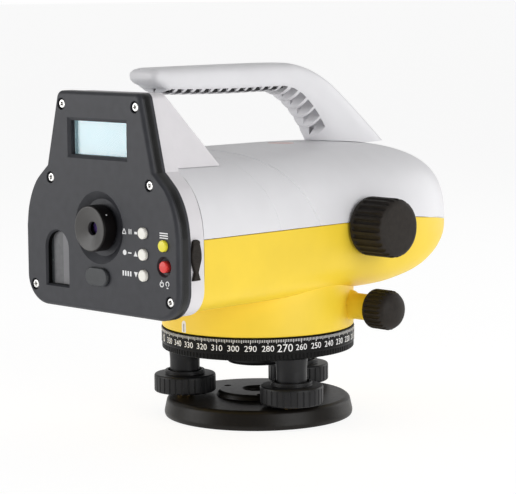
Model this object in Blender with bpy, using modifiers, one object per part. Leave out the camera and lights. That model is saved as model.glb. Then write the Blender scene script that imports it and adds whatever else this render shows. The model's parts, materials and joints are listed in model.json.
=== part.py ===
"""Electronic automatic level on a three-screw levelling head.

Frame: +Z up, origin at the centre of the base plate's underside, on the vertical axis.
The eyepiece panel faces -Y, the telescope sights towards +Y, the focusing knob is on +X.
Sizes are in metres; the helper MM turns millimetres into metres. Heights are measured from a
datum TRIPOD_GAP below the base plate's underside, and the last lines set the instrument down
so that its underside is at z = 0.
"""

from math import cos, pi, radians, sin

import bmesh
import bpy
from mathutils import Matrix, Vector

MM = 0.001
GAP = 0.3 * MM  # between pieces that touch in the real instrument

TRIPOD_GAP = 5.7 * MM

# Levelling head
BASE_R = 55.0 * MM
BASE_TOP = 16.85 * MM
TRIPOD_BORE_R = 7.95 * MM
FOOT_RADIUS = 43.0 * MM
FOOT_ANGLES = (-18.6, 101.4, 221.4)
KNOB_R = 18.0 * MM
KNOB_Z = (18.8 * MM, 29.3 * MM)
CUP_R = 11.6 * MM
CUP_TOP = 31.6 * MM
SPINDLE_R = 3.5 * MM

# Casing
BODY_MID = 115.0 * MM
WALL = 2.4 * MM
REAR_Y = -100.8 * MM

# Eyepiece panel
PANEL_Y = -119.75 * MM
PANEL_BACK = -111.0 * MM
PANEL_W = 63.3 * MM
AXIS_Z = 124.6 * MM  # line of sight

# Knobs on the alidade
FOCUS_Y, FOCUS_Z, FOCUS_R = 26.55 * MM, 118.1 * MM, 16.8 * MM
TANGENT_Y, TANGENT_Z, TANGENT_R = 26.9 * MM, 71.1 * MM, 11.3 * MM

BUTTONS = {
    "button_height": (36.0 * MM, 124.3 * MM),
    "button_record": (36.0 * MM, 112.9 * MM),
    "button_function": (36.0 * MM, 101.7 * MM),
    "button_menu": (51.9 * MM, 118.7 * MM),
    "button_power": (51.9 * MM, 107.6 * MM),
}
BUTTON_R = 3.1 * MM
SCREW_SPOTS = ((30.2, 190.6), (40.8, 149.7), (55.9, 89.0))
PLUG_SPOT = (4.0 * MM, 16.0 * MM, 0)

# Directions of a piece's own axis, from its local +Z
UP = Matrix.Identity(4)
ALONG_X = Matrix.Rotation(pi / 2, 4, "Y")
ALONG_Y = Matrix.Rotation(-pi / 2, 4, "X")
FACING_REAR = Matrix.Rotation(pi / 2, 4, "X")
FACING_LEFT = Matrix.Rotation(-pi / 2, 4, "Y")

for thing in list(bpy.data.objects):
    bpy.data.objects.remove(thing, do_unlink=True)

parts = bpy.data.collections.new("automatic_level")
cutters = bpy.data.collections.new("cutters")
for group in (parts, cutters):
    bpy.context.scene.collection.children.link(group)


# ---------------------------------------------------------------- materials


def material(name, colour, roughness, metallic=0.0, alpha=1.0):
    made = bpy.data.materials.new(name)
    made.use_nodes = True
    shader = made.node_tree.nodes["Principled BSDF"]
    shader.inputs["Base Color"].default_value = (*colour, 1.0)
    shader.inputs["Roughness"].default_value = roughness
    shader.inputs["Metallic"].default_value = metallic
    shader.inputs["Alpha"].default_value = alpha
    return made


CHARCOAL = material("charcoal_plastic", (0.045, 0.047, 0.052), 0.55)
GREY = material("grey_paint", (0.62, 0.62, 0.65), 0.42)
YELLOW = material("yellow_paint", (0.86, 0.62, 0.06), 0.4)
BLACK = material("black_paint", (0.02, 0.018, 0.017), 0.38)
RUBBER = material("knob_rubber", (0.03, 0.026, 0.022), 0.6)
STEEL = material("steel", (0.6, 0.6, 0.6), 0.3, 1.0)
BRASS = material("brass", (0.75, 0.55, 0.25), 0.3, 1.0)
GLASS = material("glass", (0.5, 0.55, 0.6), 0.05, 0.0, 0.4)
LCD = material("lcd", (0.5, 0.8, 0.85), 0.2)
BOARD = material("circuit_board", (0.03, 0.2, 0.08), 0.5)
WHITE = material("white_plastic", (0.85, 0.83, 0.76), 0.4)
LEMON = material("yellow_plastic", (0.9, 0.75, 0.05), 0.4)
RED = material("red_plastic", (0.7, 0.04, 0.04), 0.4)
MIRROR = material("mirror", (0.8, 0.8, 0.8), 0.05, 1.0)


# ---------------------------------------------------------------- helpers


def add(name, mesh, finish, where=UP, origin=(0, 0, 0)):
    """An object of this mesh; a finish of None makes it a cutter."""
    made = bpy.data.objects.new(name, mesh)
    made.matrix_world = Matrix.Translation(origin) @ where
    if finish is None:
        cutters.objects.link(made)
        made.hide_render = True
        made.display_type = "WIRE"
    else:
        parts.objects.link(made)
        mesh.materials.append(finish)
        mesh.set_sharp_from_angle(angle=radians(35))
    return made


def from_bmesh(name, shape, finish, where=UP, origin=(0, 0, 0)):
    mesh = bpy.data.meshes.new(name)
    bmesh.ops.recalc_face_normals(shape, faces=shape.faces)
    shape.to_mesh(mesh)
    shape.free()
    return add(name, mesh, finish, where, origin)


def box(name, low, high, finish=None, bevel=0.0):
    """A block between two corners in millimetres."""
    shape = bmesh.new()
    bmesh.ops.create_cube(shape, size=1.0)
    size = Vector([(b - a) * MM for a, b in zip(low, high)])
    middle = Vector([(a + b) / 2 * MM for a, b in zip(low, high)])
    bmesh.ops.scale(shape, vec=size, verts=shape.verts)
    made = from_bmesh(name, shape, finish, UP, middle)
    if bevel:
        round_edges(made, bevel)
    return made


def round_edges(thing, width, segments=2, angle=40):
    bevel = thing.modifiers.new("rounding", "BEVEL")
    bevel.width = width
    bevel.segments = segments
    bevel.limit_method = "ANGLE"
    bevel.angle_limit = radians(angle)
    return thing


def rod(name, radius, low, high, finish=None, where=UP, origin=(0, 0, 0), steps=32):
    """A cylinder from low to high along its axis, through origin."""
    shape = bmesh.new()
    turned_axis = Matrix.Translation((0, 0, (low + high) / 2))
    bmesh.ops.create_cone(
        shape,
        cap_ends=True,
        segments=steps,
        radius1=radius,
        radius2=radius,
        depth=high - low,
        matrix=turned_axis,
    )
    return from_bmesh(name, shape, finish, where, origin)


def turned(name, profile, finish=None, where=UP, origin=(0, 0, 0), steps=48, closed=False):
    """A profile of (radius, height) in millimetres, listed down the outer side, turned about Z."""
    mesh = bpy.data.meshes.new(name)
    points = [(r * MM, 0, z * MM) for r, z in profile]
    edges = [(i, i + 1) for i in range(len(points) - 1)]
    if closed:
        edges.append((len(points) - 1, 0))
    mesh.from_pydata(points, edges, [])
    made = add(name, mesh, finish, where, origin)
    screw = made.modifiers.new("turning", "SCREW")
    screw.steps = steps
    screw.render_steps = steps
    screw.use_merge_vertices = True
    screw.merge_threshold = 0.00001
    screw.use_smooth_shade = True
    return made


def plate(name, outline, depth, finish=None, where=UP, origin=(0, 0, 0)):
    """A flat outline in metres, filled and given a depth about its plane."""
    curve = bpy.data.curves.new(name, "CURVE")
    curve.dimensions = "2D"
    curve.fill_mode = "BOTH"
    curve.extrude = depth / 2
    line = curve.splines.new("POLY")
    line.points.add(len(outline) - 1)
    for point, (x, y) in zip(line.points, outline):
        point.co = (x, y, 0, 1)
    line.use_cyclic_u = True
    flat = bpy.data.objects.new(name + "_outline", curve)
    parts.objects.link(flat)
    graph = bpy.context.evaluated_depsgraph_get()
    mesh = bpy.data.meshes.new_from_object(flat.evaluated_get(graph))
    bpy.data.objects.remove(flat, do_unlink=True)
    shape = bmesh.new()
    shape.from_mesh(mesh)
    bmesh.ops.remove_doubles(shape, verts=shape.verts, dist=0.00001)
    bmesh.ops.recalc_face_normals(shape, faces=shape.faces)
    shape.to_mesh(mesh)
    shape.free()
    mesh.name = name
    return add(name, mesh, finish, where, origin)


def loft(name, rings, finish=None):
    """A closed skin over rings of points that all have the same count."""
    shape = bmesh.new()
    made = [[shape.verts.new(p) for p in ring] for ring in rings]
    count = len(made[0])
    for near, far in zip(made, made[1:]):
        for i in range(count):
            j = (i + 1) % count
            shape.faces.new((near[i], near[j], far[j], far[i]))
    shape.faces.new(made[0])
    shape.faces.new(made[-1])
    return from_bmesh(name, shape, finish)


def boolean(target, tool, operation):
    modifier = target.modifiers.new(operation.lower(), "BOOLEAN")
    modifier.operation = operation
    modifier.solver = "EXACT"
    modifier.object = tool
    return target


def cut(target, *tools):
    for tool in tools:
        boolean(target, tool, "DIFFERENCE")
    return target


def join(target, *tools):
    for tool in tools:
        boolean(target, tool, "UNION")
    return target


def copy_mesh(thing, name):
    """A cutter with the finished shape of another object."""
    bpy.context.view_layer.update()
    graph = bpy.context.evaluated_depsgraph_get()
    mesh = bpy.data.meshes.new_from_object(thing.evaluated_get(graph))
    return add(name, mesh, None, thing.matrix_world.copy())


def arc(cx, cy, radius, start, stop, steps):
    """Points on an arc, angles in degrees."""
    return [
        (
            cx + radius * cos(radians(start + (stop - start) * i / steps)),
            cy + radius * sin(radians(start + (stop - start) * i / steps)),
        )
        for i in range(steps + 1)
    ]


def ribbed_outline(radius, ribs, depth, crest=0.5):
    """The outline of a grip with flat-topped ribs round it."""
    points = []
    for i in range(ribs):
        for share, r in (
            (0.0, radius),
            (crest, radius),
            (crest + 0.1, radius - depth),
            (0.9, radius - depth),
        ):
            angle = 2 * pi * (i + share) / ribs
            points.append((r * cos(angle), r * sin(angle)))
    return points


def foot_spot(index):
    angle = radians(FOOT_ANGLES[index])
    return Vector((FOOT_RADIUS * cos(angle), FOOT_RADIUS * sin(angle), 0))


# ---------------------------------------------------------------- levelling head


def base_plate():
    made = turned(
        "base_plate",
        [
            (TRIPOD_BORE_R / MM, BASE_TOP / MM),
            (51.6, BASE_TOP / MM),
            (53.4, 15.4),
            (BASE_R / MM, 8.0),
            (54.6, 6.2),
            (53.9, 5.7),
            (TRIPOD_BORE_R / MM, 5.7),
        ],
        BLACK,
        steps=48,
        closed=True,
    )
    for index in range(3):
        seat = rod(f"foot_seat_{index + 1}", 6.0 * MM, 13.0 * MM, 20.0 * MM, steps=20)
        seat.location = foot_spot(index)
        cut(made, seat)


def clamp_disc():
    """Disc on the base plate, with the chamfered mouth of the tripod thread."""
    low = BASE_TOP / MM + 0.3
    made = turned(
        "clamp_disc",
        [(9.7, 20.3), (22.4, 20.3), (23.4, 19.3), (24.6, low), (8.0, low), (8.0, 18.6)],
        BLACK,
        steps=32,
        closed=True,
    )
    for index in range(3):
        hole = rod(f"disc_hole_{index + 1}", 2.1 * MM, 16 * MM, 22 * MM, steps=12)
        angle = radians(FOOT_ANGLES[index] - 23)
        hole.location = (20.2 * MM * cos(angle), 20.2 * MM * sin(angle), 0)
        cut(made, hole)


def grip(name, radius, ribs, depth, length, finish, where, origin):
    """A knob's rim: a disc with flat-topped ribs."""
    return plate(name, ribbed_outline(radius, ribs, depth), length, finish, where, origin)


def foot_screw(index):
    number = index + 1
    spot = foot_spot(index)
    middle = spot + Vector((0, 0, sum(KNOB_Z) / 2))
    knob = grip(f"foot_knob_{number}", KNOB_R, 18, 0.9 * MM, KNOB_Z[1] - KNOB_Z[0], BLACK, UP, middle)
    collar = rod(f"knob_collar_{number}", CUP_R, 25 * MM, CUP_TOP, origin=spot, steps=20)
    well = rod(f"knob_well_{number}", 10.1 * MM, 22.6 * MM, 33 * MM, origin=spot, steps=20)
    bore = rod(f"knob_bore_{number}", SPINDLE_R + GAP, 10 * MM, 33 * MM, origin=spot, steps=14)
    join(knob, collar)
    cut(knob, well, bore)
    turned(
        f"foot_spindle_{number}",
        [(0, 43.0), (SPINDLE_R / MM, 43.0), (SPINDLE_R / MM, 18.4), (5.2, 18.3), (5.2, 15.6),
         (3.4, 13.4), (0, 13.4)],
        BRASS,
        origin=spot,
        steps=14,
    )


def tribrach():
    body = turned(
        "tribrach_body",
        [
            (7.4, 61.0),
            (12.8, 61.0),
            (12.8, 52.6),
            (50.2, 52.6),
            (50.2, 46.8),
            (18.7, 46.8),
            (18.7, 38.0),
            (17.2, 36.5),
            (7.4, 36.5),
        ],
        BLACK,
        steps=40,
        closed=True,
    )
    for index in range(3):
        spot = foot_spot(index)
        column = turned(
            f"column_{index + 1}",
            [(0, 49.0), (7.9, 49.0), (8.2, 46.0), (9.3, 45.0), (8.7, 38.0), (8.7, 27.2), (0, 27.2)],
            origin=spot,
            steps=20,
        )
        bore = rod(f"column_bore_{index + 1}", 5.6 * MM, 20 * MM, 50 * MM, origin=spot, steps=14)
        pocket = rod(f"bush_pocket_{index + 1}", 7.6 * MM, 31.6 * MM, 60 * MM, origin=spot, steps=16)
        join(body, column)
        cut(body, bore, pocket)
        turned(
            f"foot_bush_{index + 1}",
            [(4.6, 38.6), (6.5, 38.6), (6.5, 32.4), (4.6, 32.4)],
            BRASS,
            origin=spot,
            steps=16,
            closed=True,
        )
    turned(
        "centre_spindle",
        [(0, 86.0), (6.3, 86.0), (7.0, 85.2), (7.0, 36.8), (0, 36.8)],
        STEEL,
        steps=28,
    )


def horizontal_circle():
    turned(
        "circle_ring",
        [
            (13.4, 58.0),
            (54.6, 58.0),
            (55.9, 58.4),
            (56.1, 49.6),
            (55.4, 49.2),
            (55.4, 46.4),
            (54.8, 45.8),
            (51.6, 45.8),
            (51.6, 54.4),
            (13.4, 54.4),
        ],
        BLACK,
        steps=48,
        closed=True,
    )


def swivel_drive():
    """Worm wheel held by friction on the bearing, and the endless tangent screw that turns it."""
    turned(
        "worm_wheel",
        [(13.6, 74.6), (22.6, 74.6), (22.6, 67.6), (13.6, 67.6)],
        BRASS,
        steps=36,
        closed=True,
    )
    turned(
        "bearing_bush",
        [(7.3, 85.0), (11.4, 85.0), (13.2, 66.6), (19.0, 66.6), (19.0, 61.6), (7.3, 61.6)],
        STEEL,
        steps=28,
        closed=True,
    )
    turned(
        "tangent_shaft",
        [(0, 79.0), (2.4, 79.0), (2.4, 12.0), (3.9, 10.0), (3.9, -10.0), (2.4, -12.0),
         (2.4, -79.0), (0, -79.0)],
        STEEL,
        ALONG_X,
        (0, TANGENT_Y, TANGENT_Z),
        steps=14,
    )
    for side, facing in (("right", ALONG_X), ("left", FACING_LEFT)):
        spot = Vector((0, TANGENT_Y, TANGENT_Z))
        middle = spot + facing @ Vector((0, 0, 74.2 * MM))
        name = f"tangent_knob_{side}"
        knob = grip(name, TANGENT_R, 14, 0.7 * MM, 14.0 * MM, RUBBER, facing, middle)
        dome = [(0, 84.6), (4.6, 84.2), (8.4, 82.8), (10.5, 80.6), (10.5, 70.0), (0, 70.0)]
        cap = turned(name + "_cap", dome, None, facing, spot, 16)
        bore = rod(name + "_bore", 2.7 * MM, 60 * MM, 79.3 * MM, None, facing, spot, 12)
        join(knob, cap)
        cut(knob, bore)


# ---------------------------------------------------------------- casing


def section(y, half_width, top, bottom, top_power, bottom_power, count):
    """One ring of the casing: a superellipse with its own upper and lower halves."""
    points = []
    for i in range(count):
        angle = 2 * pi * i / count
        c, s = cos(angle), sin(angle)
        power = top_power if s >= 0 else bottom_power
        height = (top - BODY_MID) if s >= 0 else (BODY_MID - bottom)
        x = half_width * abs(c) ** (2 / power) * (1 if c >= 0 else -1)
        z = BODY_MID + height * abs(s) ** (2 / power) * (1 if s >= 0 else -1)
        points.append((x, y, z))
    return points


# Stations along the casing: y, half width, top, bottom, fullness above and below
STATIONS = (
    (-100.4, 62.3, 163.0, 78.6, 2.7, 5.0),
    (-40.0, 62.3, 163.0, 78.6, 2.7, 5.0),
    (20.0, 62.3, 163.0, 78.8, 2.6, 4.4),
    (50.0, 62.3, 162.6, 79.0, 2.6, 4.4),
    (68.0, 61.6, 161.6, 80.2, 2.6, 4.0),
    (84.0, 59.4, 159.8, 82.4, 2.6, 3.6),
    (97.0, 55.6, 157.2, 86.0, 2.6, 3.2),
    (107.0, 50.4, 154.2, 90.4, 2.6, 3.0),
    (113.0, 45.6, 151.4, 94.6, 2.6, 3.0),
    (117.0, 40.0, 148.4, 99.2, 2.6, 3.0),
)


def casing_form(name, inset, count=36):
    rings = []
    for index, (y, w, top, bottom, up, down) in enumerate(STATIONS):
        last = index == len(STATIONS) - 1
        first = index == 0
        shift = -inset if last else 0.0
        if first and inset:
            shift = -2.0
        ring = section(
            (y + shift) * MM,
            (w - inset) * MM,
            (top - inset) * MM,
            (bottom + inset) * MM,
            up,
            down,
            count,
        )
        rings.append(ring)
    return loft(name, rings)


def seam_outline(offset):
    """The joint line between cover and housing, in (y, z): level, then falling towards the objective."""
    line = [(-101.5, 121.0), (40.0, 121.0), (70.0, 119.6), (95.0, 117.0), (124.0, 112.6)]
    return [(y * MM, z * MM + offset) for y, z in line]


def seam_block(name, above):
    """Everything on one side of the seam, as a cutter extruded across the casing."""
    line = seam_outline(-GAP / 2 if above else GAP / 2)
    edge = 230.0 * MM if above else 30.0 * MM
    outline = line + [(line[-1][0], edge), (line[0][0], edge)]
    upright = Matrix(((0, 0, 1, 0), (1, 0, 0, 0), (0, 1, 0, 0), (0, 0, 0, 1)))
    return plate(name, outline, 200 * MM, None, upright)


def knob_boss(name, side, radius):
    facing = ALONG_X if side > 0 else FACING_LEFT
    return rod(name, radius, 44 * MM, 66.8 * MM, None, facing, (0, TANGENT_Y, TANGENT_Z), 20)


def casing():
    outer = casing_form("casing_outer", 0.0)
    inner = casing_form("casing_inner", WALL / MM, 24)
    housing = copy_mesh(outer, "lower_housing_form")
    cutters.objects.unlink(housing)
    parts.objects.link(housing)
    housing.name = "lower_housing"
    housing.hide_render = False
    housing.display_type = "TEXTURED"
    housing.data.materials.clear()
    housing.data.materials.append(YELLOW)

    skirt = turned(
        "skirt",
        [(0, 92.0), (55.8, 92.0), (55.8, 60.0), (55.4, 58.8), (0, 58.8)],
        steps=48,
    )
    skirt_hollow = turned(
        "skirt_hollow",
        [(0, 90.0), (53.0, 90.0), (53.0, 61.3), (0, 61.3)],
        steps=28,
    )
    join(housing, skirt)
    for side, word in ((1, "right"), (-1, "left")):
        join(housing, knob_boss(f"tangent_boss_{word}", side, 7.5 * MM))
    cut(housing, inner, skirt_hollow)
    shaft_hole = rod("shaft_hole", 3.0 * MM, -90 * MM, 90 * MM, None, ALONG_X,
                     (0, TANGENT_Y, TANGENT_Z), 20)
    axis_hole = rod("axis_hole", 13.8 * MM, 50 * MM, 70 * MM, steps=24)
    cut(housing, shaft_hole, axis_hole, seam_block("above_seam", True))

    objective_hole = rod("objective_hole", 21.0 * MM, 105 * MM, 130 * MM, None, ALONG_Y,
                         (0, 0, AXIS_Z), 28)
    focus_hole = rod("focus_hole", 3.6 * MM, 50 * MM, 80 * MM, None, ALONG_X,
                     (0, FOCUS_Y, FOCUS_Z), 14)
    door_hole = box("door_hole", (-70, -52.3, 92.7), (-50, 4.3, 116.3))
    cut(housing, objective_hole, focus_hole, door_hole)

    cover = copy_mesh(outer, "top_cover_form")
    cutters.objects.unlink(cover)
    parts.objects.link(cover)
    cover.name = "top_cover"
    cover.hide_render = False
    cover.display_type = "TEXTURED"
    cover.data.materials.clear()
    cover.data.materials.append(GREY)
    cut(cover, inner, seam_block("below_seam", False), objective_hole, focus_hole)
    plug_hole = rod("plug_hole", 8.3 * MM, 150 * MM, 170 * MM, None, UP,
                    PLUG_SPOT, 20)
    cut(cover, plug_hole)
    turned(
        "top_plug",
        [(0, 163.1), (7.4, 163.0), (7.9, 162.6), (7.9, 158.0), (0, 158.0)],
        GREY,
        origin=PLUG_SPOT,
        steps=20,
    )
    return outer


def panel_outline(inset):
    """Panel seen from the eyepiece side, as (x, z): a round-bottomed body and a tapering head."""
    corner = 16.5
    half = arc(PANEL_W / MM - corner, 78.2 + corner, corner - inset, -90, 0, 6)
    half += [(PANEL_W / MM - inset, 122.0)]
    half += [(61.9 - inset, 131.5), (58.9 - inset * 0.95, 140.0), (54.2 - inset * 0.8, 147.4)]
    half += [(48.4 - inset * 0.7, 153.0 - inset * 0.4), (44.4 - inset, 156.4 - inset * 0.2)]
    head = arc(31.1, 195.3 - 1.5, 4.0 - inset * 0.6, 10, 90, 3)
    half += [(x - inset * 0.4, z - inset * 0.4) for x, z in head]
    full = half + [(-x, z) for x, z in reversed(half)]
    return [(x * MM, z * MM) for x, z in full]


def rear_casing():
    """Charcoal eyepiece panel and the grey housing behind it, with its display hood."""
    rounding = ((0.0, 2.4), (0.7, 0.8), (2.4, 0.0), (8.75, 0.0))
    rings = []
    for depth, inset in rounding:
        rings.append([(x, PANEL_Y + depth * MM, z) for x, z in panel_outline(inset)])
    panel = loft("front_panel", rings, CHARCOAL)
    hollow = plate("panel_hollow", panel_outline(3.0), 20 * MM, None, FACING_REAR,
                   (0, PANEL_Y + 15 * MM, 0))
    cut(panel, hollow)
    dish = turned(
        "eyepiece_dish",
        [(0, 2.0), (22.8, 2.0), (15.6, -2.8), (0, -2.8)],
        None,
        FACING_REAR,
        (0, PANEL_Y, AXIS_Z),
        steps=36,
    )
    eye_hole = rod("eye_hole", 11.0 * MM, -20 * MM, 20 * MM, None, FACING_REAR,
                   (0, PANEL_Y, AXIS_Z), 28)
    cut(panel, dish, eye_hole)

    display = box("display_hole", (-23.6, -125, 163.2), (22.2, -100, 181.8))
    splay = recess("display_splay", (-0.7, 172.5), (22.9, 9.3), 1.8, 1.2)
    cut(panel, display, splay)
    window = plate("bubble_hole", arch_outline(19.4, 0.0), 40 * MM, None, FACING_REAR,
                   (0, PANEL_Y, 0))
    cut(panel, window)
    for name, (x, z) in BUTTONS.items():
        hole = rod(name + "_hole", BUTTON_R + GAP, -20 * MM, 20 * MM, None, FACING_REAR,
                   (x, PANEL_Y, z), 14)
        cut(panel, hole)
    power = turned(
        "power_recess",
        [(0, 1.0), (6.0, 1.0), (5.2, -1.0), (3.6, -2.0), (0, -2.0)],
        None,
        FACING_REAR,
        (BUTTONS["button_power"][0], PANEL_Y, BUTTONS["button_power"][1]),
        steps=20,
    )
    cut(panel, power)
    number = 0
    for x, z in SCREW_SPOTS:
        for side in (-1, 1):
            number += 1
            spot = (side * x * MM, PANEL_Y, z * MM)
            well = rod(f"screw_well_{number}", 3.3 * MM, -1.9 * MM, 4 * MM, None, FACING_REAR, spot, 12)
            shank = rod(f"screw_shank_{number}", 1.6 * MM, -30 * MM, 4 * MM, None, FACING_REAR, spot, 8)
            cut(panel, well, shank)
            screw = turned(
                f"panel_screw_{number}",
                [(0, -0.35), (1.9, -0.4), (2.45, -1.0), (2.45, -1.6), (1.25, -1.6), (1.25, -8.0),
                 (0, -8.0)],
                STEEL,
                FACING_REAR,
                spot,
                steps=12,
            )
            slot = rod(f"screw_slot_{number}", 0.75 * MM, -1.0 * MM, 1 * MM, None, FACING_REAR, spot, 6)
            cut(screw, slot)

    ring = plate("rear_housing", panel_outline(1.1), REAR_Y - PANEL_BACK - GAP, GREY, FACING_REAR,
                 (0, (PANEL_BACK + REAR_Y + GAP) / 2, 0))
    hood = hood_form("hood", 0.0, -110.6)
    hood_hollow = hood_form("hood_hollow", 2.4, -125.0)
    ring_hollow = plate("ring_hollow", panel_outline(4.4), 20 * MM, None, FACING_REAR,
                        (0, REAR_Y - 11 * MM, 0))
    join(ring, hood)
    cut(ring, ring_hollow, hood_hollow, bpy.data.objects["casing_inner"])
    boolean(ring, bpy.data.objects["casing_outer"], "DIFFERENCE")
    port = box("port_hole", (50, -108.0, 110.0), (70, -102.8, 117.0))
    cut(ring, port)


def recess(name, middle, half, splay, depth):
    """A rectangular opening whose walls slope outwards to the panel's front."""
    rings = []
    for sink in (depth, -2.0):
        wide = splay * (depth - sink) / depth
        x, z = half[0] + wide, half[1] + wide
        corners = ((x, z), (-x, z), (-x, -z), (x, -z))
        rings.append(
            [((middle[0] + a) * MM, PANEL_Y + sink * MM, (middle[1] + b) * MM) for a, b in corners]
        )
    return loft(name, rings)


def hood_form(name, inset, rear):
    """Wedge behind the display: an upright trapezium at the panel, running down to the cover."""
    foot = 145.0
    stations = (
        (rear, 31.9, 42.4, 197.3),
        (-99.0 - inset * 0.5, 31.4, 42.6, 197.3),
        (-66.2 - inset * 1.2, 41.0, 42.8, 156.4),
        (-60.0 - inset * 1.2, 42.4, 42.9, 149.0),
    )
    rings = []
    for y, top_w, low_w, top in stations:
        high = (top - inset) * MM
        t, w = (top_w - inset) * MM, (low_w - inset) * MM
        rings.append([(w, y * MM, foot * MM), (t, y * MM, high), (-t, y * MM, high), (-w, y * MM, foot * MM)])
    return loft(name, rings)


def arch_outline(width, inset):
    """The bubble window: square below, semicircular above, as (x, z)."""
    middle = -36.0
    radius = width / 2 - inset
    top = 120.2 - width / 2
    points = arc(middle, top, radius, 0, 180, 10)
    points += [(middle - radius, 90.2 + inset), (middle + radius, 90.2 + inset)]
    return [(x * MM, z * MM) for x, z in points]


def panel_fittings():
    box("display_window", (-23.3, -116.0, 163.5), (21.9, -114.9, 181.5), GLASS)
    box("lcd_module", (-25.0, -114.2, 160.0), (25.0, -108.6, 186.0), LCD)
    plate("bubble_window", arch_outline(18.6, 0.0), 1.0 * MM, GLASS, FACING_REAR,
          (0, PANEL_Y + 4.6 * MM, 0))
    turned(
        "circular_level",
        [(0, 93.6), (6.4, 93.6), (7.0, 93.0), (7.0, 84.6), (0, 84.6)],
        GLASS,
        origin=(-36 * MM, -106.5 * MM, 0),
        steps=20,
    )
    mirror = box("bubble_mirror", (-8.0, -8.5, -0.6), (8.0, 8.5, 0.6), MIRROR)
    mirror.matrix_world = Matrix.Translation((-36 * MM, -106.0 * MM, 104 * MM)) @ Matrix.Rotation(
        radians(45), 4, "X"
    )
    cap = [(4.1 + r[0], r[1]) for r in arc(0, 0, 5.0, -90, 90, 6)]
    cap += [(-4.1 + r[0], r[1]) for r in arc(0, 0, 5.0, 90, 270, 6)]
    cover = plate("reticle_cover", [(x * MM, y * MM) for x, y in cap], 1.8 * MM, RUBBER, FACING_REAR,
                  (-1.1 * MM, PANEL_Y - 1.2 * MM, 97.9 * MM))
    round_edges(cover, 0.6 * MM, 2, 60)
    finishes = {"button_menu": LEMON, "button_power": RED}
    for name, (x, z) in BUTTONS.items():
        sink = 0.7 if name == "button_power" else 0.0
        turned(
            name,
            [(0, 1.9 - sink), (2.4, 1.7 - sink), (3.1, 0.9 - sink), (3.1, -6.0), (4.4, -6.0),
             (4.4, -7.6), (0, -7.6)],
            finishes.get(name, WHITE),
            FACING_REAR,
            (x, PANEL_Y, z),
            steps=14,
        )


def handle():
    """Carrying handle: a bar whose centre line runs level, bends down and widens into its rear foot."""
    top = [(-88, 206.8), (-87.2, 208.3), (-84.3, 209.6), (-30, 209.9), (12, 209.7), (26, 208.6),
           (40, 204.6), (53.6, 197.6), (67, 187.6), (82, 175.4), (99.7, 160.6)]
    under = [(-88, 202.4), (-86.9, 199.6), (-82.5, 195.2), (-30, 193.4), (4, 193.3), (14, 191.4),
             (22, 187.2), (29.4, 181.6), (35.4, 175.6), (40.4, 169.2), (45.6, 161.0)]
    half_widths = (10.2, 11.4, 12.2, 12.2, 12.2, 12.2, 12.5, 13.1, 13.9, 14.8, 15.5)
    rings = []
    for index, ((ya, za), (yb, zb), wide) in enumerate(zip(top, under, half_widths)):
        middle = Vector(((0, (ya + yb) / 2, (za + zb) / 2)))
        half = Vector((0, (ya - yb) / 2, (za - zb) / 2))
        rounder = min(max((index - 4) / 3, 0.0), 1.0)  # the bend's underside is round, the bar's is squarer
        ring = []
        for i in range(20):
            angle = 2 * pi * i / 20
            c, s = cos(angle), sin(angle)
            blend = rounder if s < 0 else 0.0
            side = wide * abs(c) ** (0.62 + 0.38 * blend) * (1 if c >= 0 else -1)
            rise = abs(s) ** (0.7 + 0.3 * blend) * (1 if s >= 0 else -1)
            point = middle + Vector((side, 0, 0)) + half * rise
            ring.append(point * MM)
        rings.append(ring)
    made = loft("handle", rings, GREY)
    cut(made, box("nose_clearance", (-20.0, -95.0, 180.0), (20.0, -78.5, 198.2)))
    join(made, box("handle_post", (-5.0, -78.4, 160.0), (5.0, -74.0, 197.0)))
    for index in range(13):
        along = -72.6 + 6.3 * index
        groove = box(f"grip_groove_{index + 1}", (-8.6, along, 190.0), (8.6, along + 4.6, 197.4))
        cut(made, groove)
    for index, (along, high) in enumerate(((17.2, 190.2), (23.9, 185.9), (30.6, 180.6), (36.6, 174.2))):
        groove = box(f"bend_groove_{index + 1}", (-8.6, -2.9, -6.0), (8.6, 2.9, 7.0))
        groove.matrix_world = Matrix.Translation((0, along * MM, high * MM)) @ Matrix.Rotation(
            radians(-26), 4, "X"
        )
        cut(made, groove)
    hood_clear = hood_form("hood_clearance", -0.35, -125.0)
    cover_clear = casing_form("cover_clearance", -0.35)
    cut(made, hood_clear, cover_clear)


# ---------------------------------------------------------------- moving pieces of the telescope


def focus_drive():
    spot = Vector((0, FOCUS_Y, FOCUS_Z))
    middle = spot + Vector((74.3 * MM, 0, 0))
    knob = grip("focus_knob", FOCUS_R, 20, 0.9 * MM, 21.2 * MM, RUBBER, ALONG_X, middle)
    cap = turned(
        "focus_cap",
        [(0, 87.2), (13.6, 87.0), (15.8, 85.2), (15.8, 70.0), (0, 70.0)],
        None,
        ALONG_X,
        spot,
        steps=24,
    )
    bore = rod("focus_bore", 3.3 * MM, 60 * MM, 80.3 * MM, None, ALONG_X, spot, 14)
    join(knob, cap)
    cut(knob, bore)
    turned(
        "focus_shaft",
        [(0, 80.0), (3.0, 80.0), (3.0, 23.0), (2.2, 22.6), (2.2, 17.0), (0, 17.0)],
        STEEL,
        ALONG_X,
        spot,
        steps=14,
    )
    turned(
        "focus_cell",
        [(0, 38.0), (8.0, 37.0), (12.0, 36.0), (14.4, 36.0), (14.4, 18.0), (0, 18.0)],
        BLACK,
        ALONG_Y,
        (0, 0, AXIS_Z),
        steps=24,
    )


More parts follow.
